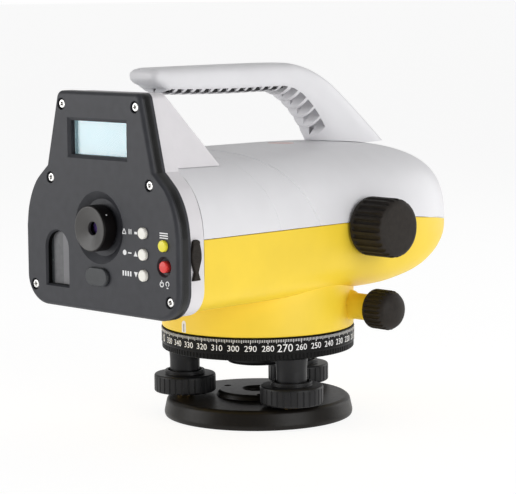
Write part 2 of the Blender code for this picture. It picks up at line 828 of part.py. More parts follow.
def telescope():
    spot = (0, 0, AXIS_Z)
    tube = turned(
        "telescope_tube",
        [
            (18.4, 111.0),
            (20.6, 111.0),
            (20.6, 70.0),
            (18.0, 56.0),
            (18.0, -84.0),
            (13.4, -94.0),
            (13.4, -98.0),
            (11.0, -98.0),
            (11.0, -86.0),
            (15.4, -80.0),
            (15.4, 58.0),
            (18.4, 72.0),
        ],
        BLACK,
        ALONG_Y,
        spot,
        steps=24,
        closed=True,
    )
    slot = box("rack_slot", (12, 14, 112), (26, 40, 124))
    window = box("light_window", (-9, -56, 104), (9, -38, 112))
    cut(tube, slot, window)
    turned(
        "objective_ring",
        [(18.4, 118.6), (20.0, 118.6), (20.7, 117.9), (20.7, 112.0), (18.4, 112.0)],
        BLACK,
        ALONG_Y,
        spot,
        steps=32,
        closed=True,
    )
    turned(
        "objective_lens",
        [(0, 107.6), (8.0, 107.0), (13.6, 105.6), (18.0, 103.6), (18.0, 97.0), (0, 97.0)],
        GLASS,
        ALONG_Y,
        spot,
        steps=24,
    )
    turned(
        "compensator_frame",
        [(9.0, -19.4), (15.0, -19.4), (15.0, -22.0), (9.0, -22.0)],
        STEEL,
        ALONG_Y,
        spot,
        steps=20,
        closed=True,
    )
    box("compensator_pendulum", (-8, -17, 113.6), (8, -3, 131.0), BRASS, 1.2 * MM)
    prism = 10.4  # half the prism's side, which its cell in the tube just takes
    box("beam_splitter", (-prism, -57.4, AXIS_Z / MM - prism), (prism, -36.6, AXIS_Z / MM + prism), GLASS)
    box("sensor_board", (-16, -62, 100.0), (16, -34, 101.8), BOARD)
    board = box("main_board", (-48, -97.8, 88), (48, -96.2, 145), BOARD)
    board_hole = rod("board_hole", 16.0 * MM, -110 * MM, -90 * MM, None, ALONG_Y, spot, 32)
    cut(board, board_hole)


def eyepiece():
    spot = (0, PANEL_Y, AXIS_Z)
    turned(
        "eyepiece_ring",
        [(3.7, 4.6), (11.6, 7.3), (12.65, 6.5), (12.65, -1.6), (10.5, -2.2), (10.5, -9.0),
         (8.4, -9.0), (8.4, 1.6), (3.7, 2.6)],
        BLACK,
        FACING_REAR,
        spot,
        steps=32,
        closed=True,
    )
    turned(
        "eyepiece_cell",
        [(0, -0.8), (6.0, -1.6), (7.8, -2.4), (7.8, -20.0), (0, -20.0)],
        GLASS,
        FACING_REAR,
        spot,
        steps=24,
    )


def power_and_port():
    box("battery_pack", (-57.0, -49.5, 94.0), (-32.0, 1.5, 115.0), CHARCOAL, 1.5 * MM)
    door = casing_form("door_skin", 0.0)
    flap = box("battery_door", (-70, -51.9, 93.1), (-57.6, 3.9, 115.9), YELLOW)
    boolean(flap, door, "INTERSECT")
    outline = [(0.9, 10.8), (2.3, 9.8), (2.4, 7.9), (3.3, 4.2), (3.3, 0.2), (1.5, -5.2), (1.3, -6.9),
               (2.6, -10.8)]
    full = outline + [(-x, z) for x, z in reversed(outline)]
    upright = Matrix(((0, 0, 1, 0), (1, 0, 0, 0), (0, 1, 0, 0), (0, 0, 0, 1)))
    plate("port_cover", [(y * MM, z * MM) for y, z in full], 2.0 * MM, RUBBER, upright,
          (63.7 * MM, -107.5 * MM, 111.0 * MM))
    rod("port_socket", 1.7 * MM, 51 * MM, 60.5 * MM, STEEL, ALONG_X, (0, -106.0 * MM, 114.3 * MM), 20)


base_plate()
clamp_disc()
for foot in range(3):
    foot_screw(foot)
tribrach()
horizontal_circle()
swivel_drive()
casing()
rear_casing()
panel_fittings()
handle()
focus_drive()
telescope()
eyepiece()
power_and_port()

for group in (parts, cutters):
    for thing in group.objects:
        thing.location.z -= TRIPOD_GAP
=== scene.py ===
"""Looks of the electronic automatic level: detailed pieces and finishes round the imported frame."""

import json
from math import cos, pi, radians, sin

import bmesh
import bpy
from mathutils import Matrix, Vector

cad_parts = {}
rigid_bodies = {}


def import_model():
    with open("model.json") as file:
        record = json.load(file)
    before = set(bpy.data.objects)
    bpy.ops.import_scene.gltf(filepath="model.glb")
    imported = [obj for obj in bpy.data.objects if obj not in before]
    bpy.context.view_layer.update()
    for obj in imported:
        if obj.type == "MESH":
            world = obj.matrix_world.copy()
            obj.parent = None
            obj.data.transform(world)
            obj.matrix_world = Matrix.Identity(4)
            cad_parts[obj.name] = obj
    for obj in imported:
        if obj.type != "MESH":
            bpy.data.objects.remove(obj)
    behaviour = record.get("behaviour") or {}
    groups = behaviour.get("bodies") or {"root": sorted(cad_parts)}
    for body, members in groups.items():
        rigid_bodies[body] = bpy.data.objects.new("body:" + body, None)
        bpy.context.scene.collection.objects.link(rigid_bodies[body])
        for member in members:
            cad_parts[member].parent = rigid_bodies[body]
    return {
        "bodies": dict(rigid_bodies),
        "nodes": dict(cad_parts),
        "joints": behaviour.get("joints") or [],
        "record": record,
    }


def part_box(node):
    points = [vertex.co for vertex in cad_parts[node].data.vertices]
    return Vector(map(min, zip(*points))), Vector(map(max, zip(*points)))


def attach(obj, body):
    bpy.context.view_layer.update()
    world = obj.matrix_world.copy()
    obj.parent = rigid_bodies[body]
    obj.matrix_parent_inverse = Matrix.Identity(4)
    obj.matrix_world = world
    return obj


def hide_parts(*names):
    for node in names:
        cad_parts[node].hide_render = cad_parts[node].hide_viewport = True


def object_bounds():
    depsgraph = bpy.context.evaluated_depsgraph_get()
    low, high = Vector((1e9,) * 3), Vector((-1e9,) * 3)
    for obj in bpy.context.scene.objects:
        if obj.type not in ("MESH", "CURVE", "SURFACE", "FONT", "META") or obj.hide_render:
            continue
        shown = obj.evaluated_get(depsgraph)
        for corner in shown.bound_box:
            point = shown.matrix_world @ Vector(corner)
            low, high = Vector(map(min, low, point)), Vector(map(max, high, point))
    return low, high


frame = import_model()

CAD_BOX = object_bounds()
MM = 0.001
BASE_TOP = 16.85  # millimetres above the datum, as every height below
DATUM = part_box("base_plate")[1].z - BASE_TOP * MM

# Directions of a piece's own axis, from its local +Z
UP = Matrix.Identity(4)
DOWN = Matrix.Rotation(pi, 4, "X")
ALONG_X = Matrix.Rotation(pi / 2, 4, "Y")
ALONG_Y = Matrix.Rotation(-pi / 2, 4, "X")
FACING_REAR = Matrix.Rotation(pi / 2, 4, "X")
FACING_LEFT = Matrix.Rotation(-pi / 2, 4, "Y")
ACROSS = Matrix(((0, 0, 1, 0), (1, 0, 0, 0), (0, 1, 0, 0), (0, 0, 0, 1)))  # (y, z) outlines, depth along X

# Driving sizes, in millimetres
FOOT_RADIUS = 43.0
FOOT_ANGLES = (-18.6, 101.4, 221.4)
RING_R = 56.1
SCALE_ZERO = 241.1  # the circle's 0 lies at this angle, and its numbers run clockwise
BODY_MID = 115.0
WALL = 2.4
REAR_Y = -100.8
PANEL_Y = -119.75
PANEL_BACK = -111.0
PANEL_W = 63.3
AXIS_Z = 124.6
FOCUS_Y, FOCUS_Z, FOCUS_R = 26.55, 118.1, 16.8
TANGENT_Y, TANGENT_Z, TANGENT_R = 26.9, 71.1, 11.3
PLUG_SPOT = (4.0, 16.0, 0)
BUTTONS = {
    "button_height": (36.0, 124.3),
    "button_record": (36.0, 112.9),
    "button_function": (36.0, 101.7),
    "button_menu": (51.9, 118.7),
    "button_power": (51.9, 107.6),
}
SCREW_SPOTS = ((30.2, 190.6), (40.8, 149.7), (55.9, 89.0))
BUBBLE_X, BUBBLE_Z = -36.0, 110.9  # centre of the bubble window's round top
PORT_X, PORT_Y, PORT_Z = 63.7, -107.5, 111.0
DOOR_LOW, DOOR_HIGH = (-70, -51.9, 93.1), (-57.6, 3.9, 115.9)
SCALE_TOP = 57.75  # upper end of the circle's graduation marks
SKIRT_R = 55.8
INDEX_ANGLE = -93.1
PRINT = 0.05  # thickness of printed marks


# ---------------- finishes


def put(node, values):
    """Sets a node's sockets by their names."""
    for socket, value in values.items():
        node.inputs[socket].default_value = value


def finish(name, colour, roughness, metallic=0.0, mottle=0.06, mottle_size=9.0, grain=0.0, grain_size=0.45,
           coat=0.0, specular=0.5, transmission=0.0, glow=0.0, streaks=None):
    """A Principled material with mottled colour, uneven gloss and a fine moulded or painted grain.

    Sizes are in millimetres; streaks stretches the grain along that axis, as turning or brushing does.
    """
    made = bpy.data.materials.new(name)
    made.use_nodes = True
    nodes, links = made.node_tree.nodes, made.node_tree.links
    shader = nodes["Principled BSDF"]
    put(shader, {"Metallic": metallic, "Specular IOR Level": specular, "Coat Weight": coat,
                 "Coat Roughness": 0.25, "Transmission Weight": transmission})
    where = nodes.new("ShaderNodeTexCoord")

    def noise(size, detail, stretch=None):
        texture = nodes.new("ShaderNodeTexNoise")
        put(texture, {"Scale": 1.0 / (size * MM), "Detail": detail})
        source = where.outputs["Object"]
        if stretch:
            mapping = nodes.new("ShaderNodeMapping")
            put(mapping, {"Scale": stretch})
            links.new(source, mapping.inputs["Vector"])
            source = mapping.outputs["Vector"]
        links.new(source, texture.inputs["Vector"])
        return texture.outputs["Fac"]

    clouds = noise(mottle_size, 4.0)
    tint = nodes.new("ShaderNodeValToRGB")
    low, high = tint.color_ramp.elements
    low.position, high.position = 0.3, 0.7
    low.color = (*[c * (1.0 - mottle) for c in colour], 1.0)
    high.color = (*[min(c * (1.0 + mottle), 1.0) for c in colour], 1.0)
    links.new(clouds, tint.inputs["Fac"])
    links.new(tint.outputs["Color"], shader.inputs["Base Color"])
    # painted light: glow makes the colour shine as emission, on a part that is no lamp
    if glow:
        links.new(tint.outputs["Color"], shader.inputs["Emission Color"])
        put(shader, {"Emission Strength": glow})

    gloss = nodes.new("ShaderNodeMapRange")
    put(gloss, {"To Min": max(roughness - 0.06, 0.02), "To Max": min(roughness + 0.06, 1.0)})
    links.new(noise(2.5, 3.0), gloss.inputs["Value"])
    links.new(gloss.outputs["Result"], shader.inputs["Roughness"])

    if grain:
        bump = nodes.new("ShaderNodeBump")
        put(bump, {"Strength": 0.8, "Distance": grain * MM})
        links.new(noise(grain_size, 3.0, streaks), bump.inputs["Height"])
        links.new(bump.outputs["Normal"], shader.inputs["Normal"])
    return made


CHARCOAL = finish("charcoal_plastic", (0.036, 0.037, 0.043), 0.47, specular=0.3, grain=0.06, grain_size=0.55,
                  mottle=0.12, mottle_size=5.0)
# painted shade: a darker copy of the panel's plastic for its edge band, partly a glossier finish and partly
# painted shade
SHADED_RIM = finish("panel_rim_gloss_painted_shade", (0.008, 0.008, 0.008), 0.3, specular=0.35, grain=0.09, grain_size=0.7,
             mottle=0.15)
GREY = finish("grey_paint", (0.76, 0.755, 0.775), 0.4, grain=0.012, grain_size=0.5, mottle=0.02,
              mottle_size=20.0)
HOOD_GREY = finish("hood_grey_paint", (0.72, 0.70, 0.72), 0.42, grain=0.03, grain_size=0.6, mottle=0.02)
PLUG = finish("cover_plug_paint", (0.80, 0.62, 0.60), 0.45, mottle=0.02)
YELLOW = finish("yellow_paint", (0.90, 0.64, 0.04), 0.42, specular=0.45, grain=0.01, grain_size=0.5,
                mottle=0.03, mottle_size=22.0)
INDEX_WHITE = finish("index_white", (0.78, 0.79, 0.83), 0.4, mottle=0.02)
BLACK = finish("black_paint", (0.008, 0.0065, 0.005), 0.4, specular=0.2, grain=0.035, grain_size=0.7,
               mottle=0.15)
PLASTIC = finish("black_plastic", (0.010, 0.010, 0.011), 0.42, specular=0.28, grain=0.015, grain_size=0.4,
                 mottle=0.12)
RUBBER = finish("knob_rubber", (0.018, 0.014, 0.011), 0.6, specular=0.25, grain=0.04, grain_size=0.35,
                mottle=0.2, mottle_size=3.0)
SOFT_PLASTIC = finish("soft_plug_plastic", (0.034, 0.037, 0.040), 0.5, grain=0.02, grain_size=0.4, mottle=0.1)
BLACK_METAL = finish("black_anodised", (0.006, 0.006, 0.006), 0.4, specular=0.1, grain=0.01, grain_size=0.3,
                     mottle=0.1)
EYE_BLACK = finish("eyepiece_black", (0.004, 0.003, 0.003), 0.4, specular=0.2, mottle=0.1)
EYE_SATIN = finish("eyepiece_satin", (0.058, 0.055, 0.053), 0.42, grain=0.012, grain_size=0.3, mottle=0.08)
STEEL = finish("steel", (0.80, 0.79, 0.77), 0.36, 1.0, grain=0.01, grain_size=0.3, streaks=(1.0, 1.0, 0.1))
BRASS = finish("brass", (0.72, 0.48, 0.2), 0.3, 1.0, grain=0.01, grain_size=0.3, streaks=(0.1, 0.1, 1.0))
WHITE_KEY = finish("white_key", (0.93, 0.91, 0.84), 0.35, mottle=0.02)
YELLOW_KEY = finish("yellow_key", (0.90, 0.80, 0.045), 0.35, mottle=0.03)
RED_KEY = finish("red_key", (0.80, 0.045, 0.04), 0.35, mottle=0.03)
PRINT_WHITE = finish("white_print", (0.88, 0.88, 0.88), 0.6, mottle=0.04, mottle_size=0.8)
# painted light: the display glows faintly though it is no lamp
LCD_PAINTED_GLOW = finish("display", (0.50, 0.78, 0.85), 0.35, mottle=0.015, mottle_size=9.0, glow=0.14)
BOARD = finish("circuit_board", (0.02, 0.14, 0.06), 0.45, mottle=0.25, mottle_size=2.0)
MIRROR = finish("mirror", (0.85, 0.85, 0.86), 0.06, 1.0, mottle=0.01)
VIAL = finish("level_vial", (0.62, 0.72, 0.45), 0.1, transmission=0.8, mottle=0.03)
LENS = finish("coated_lens", (0.10, 0.06, 0.22), 0.05, coat=1.0, specular=0.9, mottle=0.15, mottle_size=8.0)
CLEAR = finish("clear_window", (0.92, 0.95, 0.96), 0.03, transmission=0.97, mottle=0.005)
SMOKED = finish("smoked_window", (0.125, 0.125, 0.13), 0.2, specular=0.4, mottle=0.08, mottle_size=3.0)
# painted reflections: a light band and a dark band laid on the bubble window's glass
PAINTED_LIGHT_REFLECTION = finish("window_painted_light_reflection", (0.165, 0.163, 0.172), 0.25, mottle=0.05)
PAINTED_DARK_REFLECTION = finish("window_painted_dark_reflection", (0.045, 0.05, 0.052), 0.25, mottle=0.05)
# painted shade: a dark sheet set in the handle's rib gaps stands in for the shade inside them
GRIP_PAINTED_SHADE = finish("grip_painted_shade", (0.035, 0.035, 0.037), 0.7, specular=0.1, mottle=0.1)
# painted shade: the black sleeve lining the bubble window's recess stands in for the shade on its walls
PAINTED_RECESS_SHADE = finish("bubble_recess_painted_shade", (0.004, 0.004, 0.004), 0.6, specular=0.1, mottle=0.1)


# ---------------- modelling helpers


def place(name, mesh, where=UP, origin=(0, 0, 0)):
    made = bpy.data.objects.new(name, mesh)
    made.matrix_world = Matrix.Translation(Vector(origin) * MM) @ where
    bpy.context.scene.collection.objects.link(made)
    return made


def from_bmesh(name, shape, where=UP, origin=(0, 0, 0)):
    mesh = bpy.data.meshes.new(name)
    bmesh.ops.recalc_face_normals(shape, faces=shape.faces)
    bmesh.ops.scale(shape, vec=(MM, MM, MM), verts=shape.verts)
    shape.to_mesh(mesh)
    shape.free()
    return place(name, mesh, where, origin)


def softened(points, radius=0.3, closed=False, steps=3):
    """A line with each of its corners rounded by a short curve."""
    made = []
    count = len(points)
    for i, (x, y) in enumerate(points):
        if not closed and i in (0, count - 1):
            made.append((x, y))
            continue
        corner = Vector((x, y))
        near = Vector(points[i - 1]) - corner
        far = Vector(points[(i + 1) % count]) - corner
        a = corner + near.normalized() * min(radius, near.length * 0.45)
        b = corner + far.normalized() * min(radius, far.length * 0.45)
        for step in range(steps + 1):
            t = step / steps
            point = a * (1 - t) ** 2 + corner * 2 * t * (1 - t) + b * t**2
            made.append((point.x, point.y))
    return made


def turned(name, profile, where=UP, origin=(0, 0, 0), steps=96, closed=False, soft=0.3):
    """A profile of (radius, height) turned about the axis, with its corners softened."""
    line = softened(profile, soft, closed) if soft else profile
    shape = bmesh.new()
    rings = []
    for r, z in line:
        if r < 1e-6:
            rings.append([shape.verts.new((0, 0, z))])
            continue
        turns = [2 * pi * i / steps for i in range(steps)]
        rings.append([shape.verts.new((r * cos(a), r * sin(a), z)) for a in turns])
    pairs = list(zip(rings, rings[1:]))
    if closed:
        pairs.append((rings[-1], rings[0]))
    for near, far in pairs:
        for i in range(steps):
            j = (i + 1) % steps
            corners = [near[i % len(near)], near[j % len(near)], far[j % len(far)], far[i % len(far)]]
            unique = list(dict.fromkeys(corners))
            if len(unique) > 2:
                shape.faces.new(unique)
    return from_bmesh(name, shape, where, origin)


def rod(name, radius, low, high, where=UP, origin=(0, 0, 0), steps=64):
    return turned(name, [(0, high), (radius, high), (radius, low), (0, low)], where, origin, steps, soft=0)


def skin(shape, rings, hoop=False):
    """Adds faces over rings of as many points each, closed by its end rings or run round as a hoop."""
    made = [[shape.verts.new(p) for p in ring] for ring in rings]
    count = len(made[0])
    for near, far in zip(made, made[1:] + made[:1] if hoop else made[1:]):
        for i in range(count):
            j = (i + 1) % count
            shape.faces.new((near[i], near[j], far[j], far[i]))
    if not hoop:
        shape.faces.new(made[0])
        shape.faces.new(made[-1])


def loft(name, rings, where=UP, origin=(0, 0, 0), hoop=False):
    shape = bmesh.new()
    skin(shape, rings, hoop)
    return from_bmesh(name, shape, where, origin)


def plate(name, outline, low, high, where=UP, origin=(0, 0, 0), edge=0.0):
    """A flat outline given a depth along its normal, with an optional rounded edge on its far side."""
    levels = [(low, 0.0), (high, 0.0)]
    if edge:
        levels = [(low, 0.0)] + [(high - edge * (1 - sin(a)), edge * (1 - cos(a)))
                                 for a in (0.0, pi / 8, pi / 4, 3 * pi / 8, pi / 2)]
    rings = [[(x, y, z) for x, y in inset(outline, sink)] for z, sink in levels]
    return loft(name, rings, where, origin)


def inset(outline, distance):
    """The outline moved inwards by a distance; it runs anticlockwise."""
    if not distance:
        return outline
    moved = []
    count = len(outline)
    for i in range(count):
        here = Vector(outline[i])
        before = (here - Vector(outline[i - 1])).normalized()
        after = (Vector(outline[(i + 1) % count]) - here).normalized()
        normals = Vector((-before.y, before.x)), Vector((-after.y, after.x))
        middle = (normals[0] + normals[1]).normalized()
        moved.append(tuple(here + middle * (distance / max(middle.dot(normals[0]), 0.5))))
    return moved


def box(name, low, high):
    shape = bmesh.new()
    bmesh.ops.create_cube(shape, size=1.0)
    bmesh.ops.scale(shape, vec=[b - a for a, b in zip(low, high)], verts=shape.verts)
    return from_bmesh(name, shape, UP, [(a + b) / 2 for a, b in zip(low, high)])


def arc(cx, cy, radius, start, stop, steps):
    turns = [radians(start + (stop - start) * i / steps) for i in range(steps + 1)]
    return [(cx + radius * cos(a), cy + radius * sin(a)) for a in turns]


def spline(points, steps):
    """A smooth curve through the points, with a number of steps between each two."""
    made = []
    for i in range(len(points) - 1):
        p0, p1 = Vector(points[max(i - 1, 0)]), Vector(points[i])
        p2, p3 = Vector(points[i + 1]), Vector(points[min(i + 2, len(points) - 1)])
        for step in range(steps):
            t = step / steps
            made.append(0.5 * (2 * p1 + (p2 - p0) * t + (2 * p0 - 5 * p1 + 4 * p2 - p3) * t**2
                               + (3 * p1 - 3 * p2 + p3 - p0) * t**3))
    made.append(Vector(points[-1]))
    return [tuple(p) for p in made]


def baked(thing):
    bpy.context.view_layer.update()
    graph = bpy.context.evaluated_depsgraph_get()
    return bpy.data.meshes.new_from_object(thing.evaluated_get(graph))


def boolean(target, tools, operation):
    for tool in tools:
        modifier = target.modifiers.new("boolean", "BOOLEAN")
        modifier.operation = operation
        modifier.solver = "EXACT"
        modifier.object = tool
        target.data = baked(target)
        target.modifiers.clear()


def cut(target, *tools, operation="DIFFERENCE"):
    """Takes the tools out of the target, or combines them with it, and removes the tools."""
    boolean(target, tools, operation)
    for tool in tools:
        bpy.data.objects.remove(tool, do_unlink=True)


def join(target, *tools):
    cut(target, *tools, operation="UNION")


def duplicate(thing, name):
    made = bpy.data.objects.new(name, thing.data.copy())
    made.matrix_world = thing.matrix_world.copy()
    bpy.context.scene.collection.objects.link(made)
    return made


def merged(name, things):
    """Several closed pieces as one object, which stay apart from each other."""
    shape = bmesh.new()
    for thing in things:
        mesh = thing.data
        mesh.transform(thing.matrix_world)
        shape.from_mesh(mesh)
        bpy.data.objects.remove(thing, do_unlink=True)
    mesh = bpy.data.meshes.new(name)
    shape.to_mesh(mesh)
    shape.free()
    return place(name, mesh)


def smooth(mesh, crease):
    mesh.shade_smooth()
    mesh.set_sharp_from_angle(angle=radians(crease))


def settle(thing, material, body, slot, *nodes, crease=32):
    """Puts a finished piece into the frame, and lets it ride on its body in place of its CAD nodes."""
    thing.data.transform(Matrix.Translation((0, 0, DATUM)) @ thing.matrix_world)
    thing.matrix_world = Matrix.Identity(4)
    bpy.context.view_layer.update()
    smooth(thing.data, crease)
    weighted = thing.modifiers.new("normals", "WEIGHTED_NORMAL")
    weighted.keep_sharp = True
    thing.data = baked(thing)
    thing.modifiers.clear()
    thing.data.materials.clear()
    thing.data.materials.append(material)
    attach(thing, body)
    if nodes:
        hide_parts(*nodes)
    return thing


def foot_spot(index):
    angle = radians(FOOT_ANGLES[index])
    return Vector((FOOT_RADIUS * cos(angle), FOOT_RADIUS * sin(angle), 0))


def flutes(name, count, orbit, size, low, high, where=UP, origin=(0, 0, 0), sides=8):
    """Round-ended rods set in a circle, which cut the grooves of a grip."""
    turns = [pi / 2 * i / 4 for i in range(5)]
    levels = [(low + size - size * cos(a), size * max(sin(a), 0.03)) for a in turns] + [(high, size)]
    shape = bmesh.new()
    for number in range(count):
        turn = 2 * pi * number / count
        centre = Vector((orbit * cos(turn), orbit * sin(turn), 0))
        angles = [2 * pi * i / sides + turn for i in range(sides)]
        skin(shape, [[centre + Vector((r * cos(a), r * sin(a), z)) for a in angles] for z, r in levels])
    return from_bmesh(name, shape, where, origin)


# ---------------- levelling head


def base():
    plate_form = turned(
        "base_plate_shell",
        [(7.95, BASE_TOP), (51.6, BASE_TOP), (53.4, 15.4), (55.0, 8.0), (54.6, 6.2), (53.9, 5.7), (7.95, 5.7)],
        steps=160, closed=True, soft=0.9,
    )
    seats = [turned(f"seat_{i}", [(0, 20), (6.6, 20), (6.0, BASE_TOP - 0.6), (6.0, 13.0), (0, 13.0)],
                    origin=foot_spot(i), steps=40, soft=0) for i in range(3)]
    cut(plate_form, *seats)
    settle(plate_form, BLACK, "base", "black_paint", "base_plate")

    disc = turned(
        "centre_disc",
        [(9.7, 20.3), (22.4, 20.3), (23.4, 19.3), (24.6, BASE_TOP + 0.3), (8.0, BASE_TOP + 0.3), (8.0, 18.6)],
        steps=128, closed=True, soft=0.35,
    )
    holes = []
    for index in range(3):
        angle = radians(FOOT_ANGLES[index] - 23)
        holes.append(turned(f"disc_hole_{index}", [(0, 22), (2.6, 22), (2.1, 19.9), (2.1, 16), (0, 16)],
                            origin=(20.2 * cos(angle), 20.2 * sin(angle), 0), steps=24, soft=0))
    cut(disc, *holes)
    settle(disc, BLACK, "base", "black_paint", "clamp_disc")


def foot_screws():
    for index in range(3):
        number = index + 1
        spot = foot_spot(index)
        knob = turned(
            f"foot_grip_{number}",
            [(9.9, 31.6), (11.6, 31.6), (11.6, 29.3), (17.4, 29.3), (18.0, 28.4), (18.0, 19.6), (17.2, 18.8),
             (3.9, 18.8), (3.9, 22.6), (9.9, 22.6)],
            origin=spot, steps=120, closed=True, soft=0.55,
        )
        cut(knob, flutes(f"foot_grooves_{number}", 30, 18.15, 0.62, -28.3, -17.0, DOWN, spot))
        settle(knob, PLASTIC, f"foot_screw_{number}", "black_paint", f"foot_knob_{number}")

        spindle = turned(
            f"levelling_screw_{number}",
            [(0, 43.0), (3.2, 43.0), (3.5, 42.6)]
            + [(3.5 - 0.28 * (i % 2), 42.2 - 0.375 * i) for i in range(60)]
            + [(3.5, 19.2), (3.5, 18.4), (5.2, 18.3), (5.2, 15.6), (3.4, 13.4), (0, 13.4)],
            origin=spot, steps=40, soft=0,
        )
        settle(spindle, BRASS, f"foot_screw_{number}", "brass", f"foot_spindle_{number}")


def tribrach():
    body = turned(
        "tribrach_casting",
        [(7.4, 61.0), (12.8, 61.0), (12.8, 52.6), (50.2, 52.6), (50.2, 46.8), (18.7, 46.8), (18.7, 38.0),
         (17.2, 36.5), (7.4, 36.5)],
        steps=120, closed=True, soft=0.5,
    )
    for index in range(3):
        spot = foot_spot(index)
        column = turned(
            f"column_{index}",
            [(0, 49.0), (7.9, 49.0), (8.2, 46.0), (9.3, 45.0), (8.7, 38.0), (8.7, 27.2), (0, 27.2)],
            origin=spot, steps=64, soft=0.6,
        )
        bore = rod(f"column_bore_{index}", 5.6, 20, 50, origin=spot, steps=32)
        pocket = rod(f"bush_pocket_{index}", 7.6, 31.6, 60, origin=spot, steps=32)
        join(body, column)
        cut(body, bore, pocket)
    settle(body, PLASTIC, "tribrach", "black_paint", "tribrach_body")


def wrap(mesh, angle, radius, height):
    """Bends a flat mark, drawn in millimetres, round the upright axis at an angle in degrees."""
    for vertex in mesh.vertices:
        x, z, depth = vertex.co
        turn = radians(angle) + x / radius
        out = radius + depth
        vertex.co = Vector((out * cos(turn), out * sin(turn), height + z))


def numeral(value, tall):
    """A number as a flat solid mark, centred, of the height given."""
    curve = bpy.data.curves.new("numeral", "FONT")
    curve.body = str(value)
    curve.size = 1.0
    text = bpy.data.objects.new("numeral", curve)
    bpy.context.scene.collection.objects.link(text)
    mesh = baked(text)
    bpy.data.objects.remove(text, do_unlink=True)
    xs = [v.co.x for v in mesh.vertices]
    ys = [v.co.y for v in mesh.vertices]
    size = tall / (max(ys) - min(ys))
    middle = (max(xs) + min(xs)) / 2
    mesh.transform(Matrix.Diagonal((size * 1.02, size, size, 1)) @ Matrix.Translation((-middle, -min(ys), 0)))
    shape = bmesh.new()
    shape.from_mesh(mesh)
    bmesh.ops.remove_doubles(shape, verts=shape.verts, dist=0.001)
    grown = bmesh.ops.extrude_face_region(shape, geom=shape.faces[:])
    for vertex in [v for v in grown["geom"] if isinstance(v, bmesh.types.BMVert)]:
        vertex.co.z += PRINT
    bmesh.ops.recalc_face_normals(shape, faces=shape.faces)
    shape.to_mesh(mesh)
    shape.free()
    return mesh


def circle():
    ring = turned(
        "graduated_circle",
        [(13.4, 58.0), (54.6, 58.0), (55.9, 58.4), (RING_R, 58.0), (RING_R, 49.8), (55.8, 49.5), (55.8, 46.4),
         (55.2, 45.8), (51.6, 45.8), (51.6, 54.4), (13.4, 54.4)],
        steps=288, closed=True, soft=0.2,
    )
    knurl = flutes("knurl_grooves", 144, RING_R, 0.72, -49.35, -45.0, DOWN)
    cut(ring, knurl)
    settle(ring, BLACK_METAL, "circle", "black_paint", "circle_ring")

    shape = bmesh.new()
    for degree in range(360):
        low = 55.4 if degree % 10 == 0 else 55.8 if degree % 5 == 0 else 56.3
        tick = bmesh.new()
        bmesh.ops.create_cube(tick, size=1.0)
        wide = 0.34 if degree % 10 == 0 else 0.28
        bmesh.ops.scale(tick, vec=(wide, SCALE_TOP - low, PRINT), verts=tick.verts)
        mesh = bpy.data.meshes.new("tick")
        tick.to_mesh(mesh)
        tick.free()
        wrap(mesh, SCALE_ZERO - degree, RING_R + PRINT / 2, (SCALE_TOP + low) / 2)
        shape.from_mesh(mesh)
        bpy.data.meshes.remove(mesh)
    for value in range(0, 360, 10):
        quarter = value % 90 == 0
        mesh = numeral(value, 4.3 if quarter else 3.3)
        wrap(mesh, SCALE_ZERO - value, RING_R, 50.7 if quarter else 51.2)
        shape.from_mesh(mesh)
        bpy.data.meshes.remove(mesh)
    scale = from_bmesh("circle_scale", shape)
    settle(scale, PRINT_WHITE, "circle", "white_key")


# ---------------- casing

# Stations along the casing: y, half width, top, bottom, fullness above and below
STATIONS = (
    (-100.4, 62.3, 163.0, 78.6, 2.7, 5.0),
    (-40.0, 62.3, 163.0, 78.6, 2.7, 5.0),
    (20.0, 62.3, 163.0, 78.8, 2.6, 4.4),
    (50.0, 62.3, 162.6, 79.0, 2.6, 4.4),
    (68.0, 61.6, 161.6, 80.2, 2.6, 4.0),
    (84.0, 59.4, 159.8, 82.4, 2.6, 3.6),
    (97.0, 55.6, 157.2, 86.0, 2.6, 3.2),
    (107.0, 50.4, 154.2, 90.4, 2.6, 3.0),
    (113.0, 45.6, 151.4, 94.6, 2.6, 3.0),
    (117.0, 40.0, 148.4, 99.2, 2.6, 3.0),
)
LINE_A = (-41.5, -0.27)  # where a raised line crosses the cover: y at the seam, and its lean per degree
LINE_B = (-10.5, -0.43)  # the foot of the swelling that the telescope's objective end makes


def section(y, half_width, top, bottom, top_power, bottom_power, count, shift):
    """One ring of the casing: a superellipse with its own upper and lower halves."""
    points = []
    for i in range(count):
        angle = 2 * pi * i / count
        c, s = cos(angle), sin(angle)
        power = top_power if s >= 0 else bottom_power
        height = (top - BODY_MID) if s >= 0 else (BODY_MID - bottom)
        x = half_width * abs(c) ** (2 / power) * (1 if c >= 0 else -1)
        z = BODY_MID + height * abs(s) ** (2 / power) * (1 if s >= 0 else -1)
        degrees = angle * 180 / pi
        rise = min(degrees, 180 - degrees) if degrees <= 180 else 0.0
        lean, relief = shift(rise)
        points.append((x * (1 + relief), y + lean, BODY_MID + (z - BODY_MID) * (1 + relief)))
    return points


def level_ring(rise):
    return 0.0, 0.0


def casing_form(name, wall, rows, count):
    """The casing's skin, or with a wall, the room inside it."""
    rings = []
    stations = spline(STATIONS, rows)
    for index, (y, w, top, bottom, up, down) in enumerate(stations):
        shift = 0.0
        if wall and index == len(stations) - 1:
            shift = -wall
        if wall and index == 0:
            shift = -2.0
        rings.append(section(y + shift, w - wall, top - wall, bottom + wall, up, down, count, level_ring))
    return loft(name, rings)


